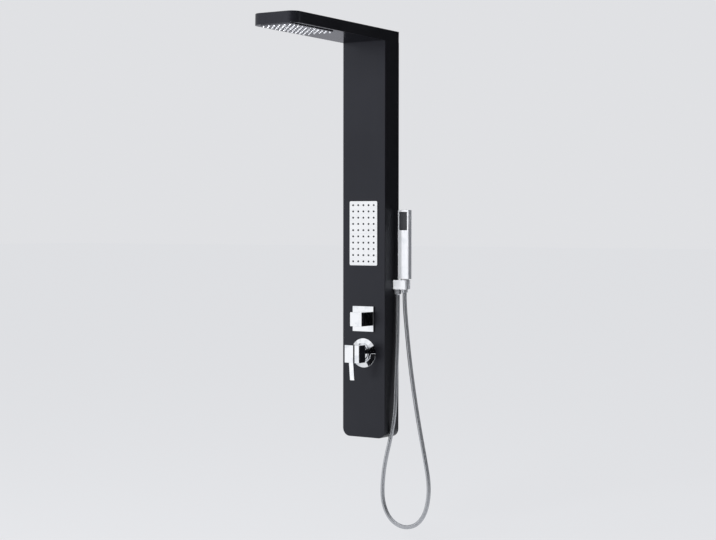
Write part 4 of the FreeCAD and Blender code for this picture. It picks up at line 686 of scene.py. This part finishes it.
@dataclass
class ShowerHose(Assembly):
    """The wound steel hose from the outlet, round a low loop, up to the hand shower."""

    diameter: float = 0.0135
    length: float = 1.592
    pitch: float = 0.0027
    groove: float = 0.0003
    sides: int = 24
    line_steps: int = 24
    still_length: float = 0.60
    end_length: float = 0.06
    profile: tuple[tuple[float, float], ...] = (
        (0.0, 1.0), (0.07, 0.3), (0.18, 0.0), (0.82, 0.0), (0.93, 0.3),
    )
    route: tuple[Point, ...] = (
        (0.0925, -0.0205, -0.192), (0.0925, -0.0205, -0.250), (0.0935, -0.0250, -0.350),
        (0.0940, -0.0340, -0.465), (0.0975, -0.0440, -0.568), (0.0860, -0.0510, -0.650),
        (0.0650, -0.0520, -0.726), (0.0540, -0.0510, -0.802), (0.0560, -0.0500, -0.862),
        (0.0810, -0.0480, -0.911), (0.1270, -0.0460, -0.934), (0.1750, -0.0450, -0.925),
        (0.2080, -0.0440, -0.892), (0.2240, -0.0430, -0.842), (0.2260, -0.0420, -0.785),
        (0.2110, -0.0410, -0.712), (0.1910, -0.0390, -0.628), (0.1690, -0.0350, -0.530),
        (0.1450, -0.0290, -0.410), (0.1270, -0.0230, -0.289), (0.1188, -0.0205, -0.220),
        (0.1188, -0.0205, -0.184),
    )

    def centreline(self) -> np.ndarray:
        """Read the smooth line through the route.

        Returns:
            Points along the line, in metres.
        """
        curve = bpy.data.curves.new("hose_route", "CURVE")
        curve.dimensions = "3D"
        spline = curve.splines.new("NURBS")
        spline.points.add(len(self.route) - 1)
        for point, place in zip(spline.points, self.route):
            point.co = (*place, 1.0)
        spline.order_u = 3
        spline.use_endpoint_u = True
        spline.resolution_u = self.line_steps
        holder = bpy.data.objects.new("hose_route", curve)
        bpy.context.scene.collection.objects.link(holder)
        bpy.context.view_layer.update()
        graph = bpy.context.evaluated_depsgraph_get()
        mesh = bpy.data.meshes.new_from_object(holder.evaluated_get(graph))
        line = np.array([vertex.co for vertex in mesh.vertices])
        bpy.data.objects.remove(holder)
        bpy.data.curves.remove(curve)
        bpy.data.meshes.remove(mesh)
        return line

    def rows(self, total: float) -> tuple[np.ndarray, np.ndarray]:
        """Place the rings of every turn, with turns to spare that the two ends cut off.

        Args:
            total: The line's length.

        Returns:
            Each ring's distance along the line, and its radius.
        """
        along = []
        radius = []
        for turn in range(-1, int(total / self.pitch) + 3):
            for share, dip in self.profile:
                along.append((turn + share) * self.pitch)
                radius.append(self.diameter / 2 - dip * self.groove)
        return np.array(along), np.array(radius)

    def build(self) -> None:
        """Wind the strip round the line and hang it between its two fittings."""
        line = self.centreline()
        steps = np.linalg.norm(np.diff(line, axis=0), axis=1)
        reach = np.concatenate(([0.0], np.cumsum(steps)))
        heading = self.headings(line)
        side = self.carried_sides(heading)
        along, radius = self.rows(reach[-1])
        end_radius = self.diameter / 2 - self.groove
        corners = np.empty((len(along), self.sides, 3))
        distances = np.empty((len(along), self.sides))
        for number in range(self.sides):
            share = number / self.sides
            spots = along + share * self.pitch
            ahead = self.between(heading, reach, spots)
            out = self.between(side, reach, spots)
            out -= ahead * np.sum(out * ahead, axis=1)[:, None] / np.sum(ahead * ahead, axis=1)[:, None]
            out /= np.linalg.norm(out, axis=1)[:, None]
            ahead /= np.linalg.norm(ahead, axis=1)[:, None]
            angle = 2 * math.pi * share
            way = math.cos(angle) * out + math.sin(angle) * np.cross(ahead, out)
            inside = (spots > 0.0) & (spots < reach[-1])
            width = np.where(inside, radius, end_radius)
            corners[:, number] = self.between(line, reach, spots) + way * width[:, None]
            distances[:, number] = spots
        hose = self.strip(corners, distances, reach[-1])
        self.declare(hose, line)
        log.info("built %s, %.3f m long", hose.name, reach[-1])

    def between(self, values: np.ndarray, reach: np.ndarray, spots: np.ndarray) -> np.ndarray:
        """Read vectors at distances along the line.

        Args:
            values: A vector for each of the line's points.
            reach: The distance of each of the line's points.
            spots: The distances to read at; those past an end read that end.

        Returns:
            A vector for each spot.
        """
        return np.column_stack([np.interp(spots, reach, values[:, axis]) for axis in range(3)])

    def headings(self, line: np.ndarray) -> np.ndarray:
        """Return the direction of the line at each of its points."""
        slope = np.gradient(line, axis=0)
        return slope / np.linalg.norm(slope, axis=1)[:, None]

    def carried_sides(self, heading: np.ndarray) -> np.ndarray:
        """Carry one sideways direction along the line without twisting it.

        Args:
            heading: The line's direction at each of its points.

        Returns:
            A unit vector square to the line at each point.
        """
        side = np.cross(heading[0], (0.0, 1.0, 0.0))
        sides = []
        for way in heading:
            side = side - way * np.dot(side, way)
            side = side / np.linalg.norm(side)
            sides.append(side)
        return np.array(sides)

    def strip(self, corners: np.ndarray, distances: np.ndarray, total: float) -> bpy.types.Object:
        """Join the rings into one strip that winds round, cut square at both ends.

        Args:
            corners: The rings' corners.
            distances: Each corner's distance along the line.
            total: The line's length.

        Returns:
            The strip, with each point's share of the hand shower's motion.
        """
        rows, sides, _ = corners.shape
        per_turn = len(self.profile)
        points, first, merged = np.unique(np.round(corners.reshape(-1, 3), 7), axis=0, return_index=True,
                                          return_inverse=True)
        merged = merged.ravel()
        faces = []
        marks = []
        for row in range(rows - per_turn - 1):
            for number in range(sides):
                wraps = number == sides - 1
                after = (row + per_turn) * sides if wraps else row * sides + number + 1
                corner = merged[[row * sides + number, after, after + sides, (row + 1) * sides + number]]
                kept = [place for place in range(4) if corner[place] != corner[place - 1]]
                if len(kept) < 3:
                    continue
                faces.append([int(corner[place]) for place in kept])
                start = distances[row, number] / self.pitch
                end = distances[row + 1, number] / self.pitch
                step = 1 / sides
                left, right = number * step, (number + 1) * step
                around = [(left, start), (right, start + step), (right, end + step), (left, end)]
                marks += [around[place] for place in kept]
        mesh = bpy.data.meshes.new("shower_hose_strip")
        mesh.from_pydata(points.tolist(), [], faces)
        layer = mesh.uv_layers.new(name="strip")
        layer.data.foreach_set("uv", np.array(marks, np.float32).ravel())
        mesh.polygons.foreach_set("use_smooth", [True] * len(mesh.polygons))
        mesh.update()
        mesh.materials.append(self.palette.of(Slot.METAL_HOSE))
        hose = bpy.data.objects.new("shower_hose_strip", mesh)
        bpy.context.scene.collection.objects.link(hose)
        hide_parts("shower_hose")
        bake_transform(hose, Body.PANEL.value, Body.HOSE_END.value, start=self.route[0], end=self.route[-1])
        moving_length = total - self.end_length - self.still_length
        follow = (distances.ravel()[first] - self.still_length) / moving_length
        shares = hose.data.attributes["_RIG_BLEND"]
        shares.data.foreach_set("value", np.clip(follow, 0.0, 1.0).astype(np.float32))
        return hose

    def declare(self, hose: bpy.types.Object, line: np.ndarray) -> None:
        """Does nothing; the hose is not declared as a cord.

        Args:
            hose: The strip; not used.
            line: Points along its middle; not used.
        """

    def dress(self) -> None:
        """The hose is dressed as it is built."""


@dataclass
class Camera:
    """The camera at the photograph's viewing angle."""

    place: Point = (3.1168, -4.5770, 0.0365)
    turn: Point = (math.pi / 2 - 0.027235, -0.0008, 0.609308)
    lens: float = 85.9

    def build(self) -> None:
        """Create the camera and make it the scene's own."""
        data = bpy.data.cameras.new("camera")
        data.lens = self.lens
        data.sensor_width = 36.0
        data.clip_end = 200.0
        camera = bpy.data.objects.new("camera", data)
        camera.location = self.place
        camera.rotation_euler = self.turn
        bpy.context.scene.collection.objects.link(camera)
        bpy.context.scene.camera = camera


@dataclass(frozen=True)
class Lamp:
    """A square soft lamp that the camera doesn't see.

    Its level is the brightness that it adds in a mirror, where 1 is white. Its spread is the angle
    over which it shines, in degrees.
    """

    name: str
    place: Point
    aim: Point
    size: float
    level: float
    mirrored: bool = True
    spread: float = 180.0

    def hang(self) -> None:
        """Add the lamp to the scene."""
        data = bpy.data.lights.new(self.name, "AREA")
        data.shape = "SQUARE"
        data.size = self.size
        data.energy = self.level * math.pi * self.size * self.size
        data.spread = math.radians(self.spread)
        lamp = bpy.data.objects.new(self.name, data)
        lamp.location = self.place
        lamp.rotation_euler = (Vector(self.aim) - Vector(self.place)).to_track_quat("-Z", "Y").to_euler()
        lamp.visible_camera = False
        lamp.visible_glossy = self.mirrored
        bpy.context.scene.collection.objects.link(lamp)


@dataclass(frozen=True)
class DarkCard:
    """A dark upright card that is seen only in mirrors.

    Its bearing is in degrees from the panel's front, towards the right.
    """

    name: str
    bearing: float
    distance: float
    width: float
    height: float

    def corners(self) -> list[Point]:
        """Work out where the card stands.

        Returns:
            Its four corners in order.
        """
        angle = math.radians(self.bearing)
        toward = np.array((math.sin(angle), -math.cos(angle), 0.0))
        across = np.array((-toward[1], toward[0], 0.0)) * self.width / 2
        upward = np.array((0.0, 0.0, self.height / 2))
        middle = toward * self.distance
        return [tuple(middle + a * across + b * upward) for a, b in ((-1, -1), (1, -1), (1, 1), (-1, 1))]


@dataclass(frozen=True)
class DarkMat:
    """A dark mat on the floor that is seen only in mirrors, between two corners."""

    name: str
    near: tuple[float, float]
    far: tuple[float, float]

    def corners(self, height: float) -> list[Point]:
        """Return the mat's four corners at a height, in order."""
        return [(*self.near, height), (self.far[0], self.near[1], height),
                (*self.far, height), (self.near[0], self.far[1], height)]


@dataclass
class Studio:
    """A pale floor, soft light and the dark cards that the plated sides mirror."""

    floor_height: float = -0.985
    floor_reach: float = 60.0
    floor_glow: float = 0.82
    mat_lift: float = 0.002
    daylight: float = 0.36
    daylight_tone: Colour = tint(236, 240, 246)
    backdrop: Colour = tint(236, 237, 240)
    horizon: float = 0.89
    card_tone: Colour = tint(20, 20, 22)
    cards: tuple[DarkCard, ...] = (
        DarkCard("front_card", bearing=32.0, distance=6.6, width=9.6, height=9.0),
        DarkCard("side_card", bearing=146.0, distance=3.6, width=3.2, height=6.0),
        DarkCard("right_card", bearing=84.0, distance=5.0, width=5.0, height=9.0),
    )
    mat: DarkMat = DarkMat("right_mat", near=(-0.45, -0.9), far=(6.0, -6.0))
    lamps: tuple[Lamp, ...] = (
        Lamp("mirror_lamp", place=(-2.9, -4.2, 0.1), aim=(0.0, 0.0, 0.0), size=4.2, level=0.27),
        Lamp("key_lamp", place=(0.1, -4.0, 1.0), aim=(0.0, 0.0, 0.0), size=1.6, level=13.0,
             mirrored=False),
        Lamp("low_lamp", place=(0.35, -1.8, -0.9), aim=(0.0, -0.5, 0.78), size=0.7, level=4.2,
             mirrored=False, spread=50.0),
        Lamp("floor_lamp", place=(-2.3, -3.0, -0.975), aim=(-2.3, -3.0, 0.0), size=3.4, level=0.26),
        Lamp("top_lamp", place=(-0.6, -1.6, 4.2), aim=(0.0, 0.0, 0.0), size=2.4, level=1.2),
    )

    def seen_directly(self, board: Board) -> Signal:
        """Tell rays that look from rays that only light.

        Args:
            board: The graph.

        Returns:
            1 for rays of the camera and of mirrors and glass, and 0 for the light's own.
        """
        camera = board.add("ShaderNodeLightPath", {}, {}, "Is Camera Ray")
        mirror = board.add("ShaderNodeLightPath", {}, {}, "Is Glossy Ray")
        glass = board.add("ShaderNodeLightPath", {}, {}, "Is Transmission Ray")
        return camera.larger(mirror).larger(glass)

    def sky(self) -> None:
        """Set a white surround that lights the panel softly."""
        world = bpy.data.worlds.new("studio")
        bpy.context.scene.world = world
        board = Board(world)
        daylight = {"Color": self.daylight_tone, "Strength": self.daylight}
        light = board.add("ShaderNodeBackground", {}, daylight)
        shown = board.add("ShaderNodeBackground", {}, {"Color": self.backdrop, "Strength": self.horizon})
        mixed = board.add("ShaderNodeMixShader", {}, {0: self.seen_directly(board), 1: light, 2: shown})
        board.add("ShaderNodeOutputWorld", {}, {"Surface": mixed})

    def sheet(self, name: str, corners: list[Point]) -> bpy.types.Object:
        """Make a flat piece of the studio.

        Args:
            name: Its name.
            corners: Its four corners in order.

        Returns:
            The piece.
        """
        mesh = bpy.data.meshes.new(name)
        mesh.from_pydata(corners, [], [(0, 1, 2, 3)])
        piece = bpy.data.objects.new(name, mesh)
        bpy.context.scene.collection.objects.link(piece)
        return piece

    def floor(self) -> None:
        """Lay the pale floor just under the hose's loop."""
        reach, height = self.floor_reach, self.floor_height
        piece = self.sheet("floor", [(-reach, -reach, height), (reach, -reach, height),
                                     (reach, reach, height), (-reach, reach, height)])
        material = bpy.data.materials.new("pale_floor")
        board = Board(material)
        matt = board.add("ShaderNodeBsdfDiffuse", {}, {"Color": self.backdrop})
        shown = board.add("ShaderNodeEmission", {}, {"Color": self.backdrop, "Strength": 1.0})
        glow = self.floor_glow * self.seen_directly(board)
        mixed = board.add("ShaderNodeMixShader", {}, {0: glow, 1: matt, 2: shown})
        board.add("ShaderNodeOutputMaterial", {}, {"Surface": mixed})
        piece.data.materials.append(material)

    def dark_sheet(self, name: str, corners: list[Point]) -> None:
        """Make a dark sheet that is seen only in mirrors.

        Args:
            name: Its name.
            corners: Its four corners in order.
        """
        piece = self.sheet(name, corners)
        material = bpy.data.materials.new(name)
        board = Board(material)
        matt = board.add("ShaderNodeBsdfDiffuse", {}, {"Color": self.card_tone})
        board.add("ShaderNodeOutputMaterial", {}, {"Surface": matt})
        piece.data.materials.append(material)
        piece.visible_camera = False
        piece.visible_diffuse = False
        piece.visible_shadow = False

    def build(self) -> None:
        """Set up the whole studio."""
        self.sky()
        self.floor()
        for card in self.cards:
            self.dark_sheet(card.name, card.corners())
        self.dark_sheet(self.mat.name, self.mat.corners(self.floor_height + self.mat_lift))
        for lamp in self.lamps:
            lamp.hang()
        bpy.context.scene.view_settings.view_transform = "Standard"


def main() -> None:
    """Build the camera, the hose, the groups of the panel and the studio."""
    palette = Palette()
    Camera().build()
    for group in (ShowerHose, PanelColumn, RainHead, BodyJets, DiverterControl, MixerControl, WaterLines,
                  HandShowerHolder, HandShower):
        group(palette).make()
        log.info("finished %s", group.__name__)
    Studio().build()


if __name__ == "__main__":
    main()
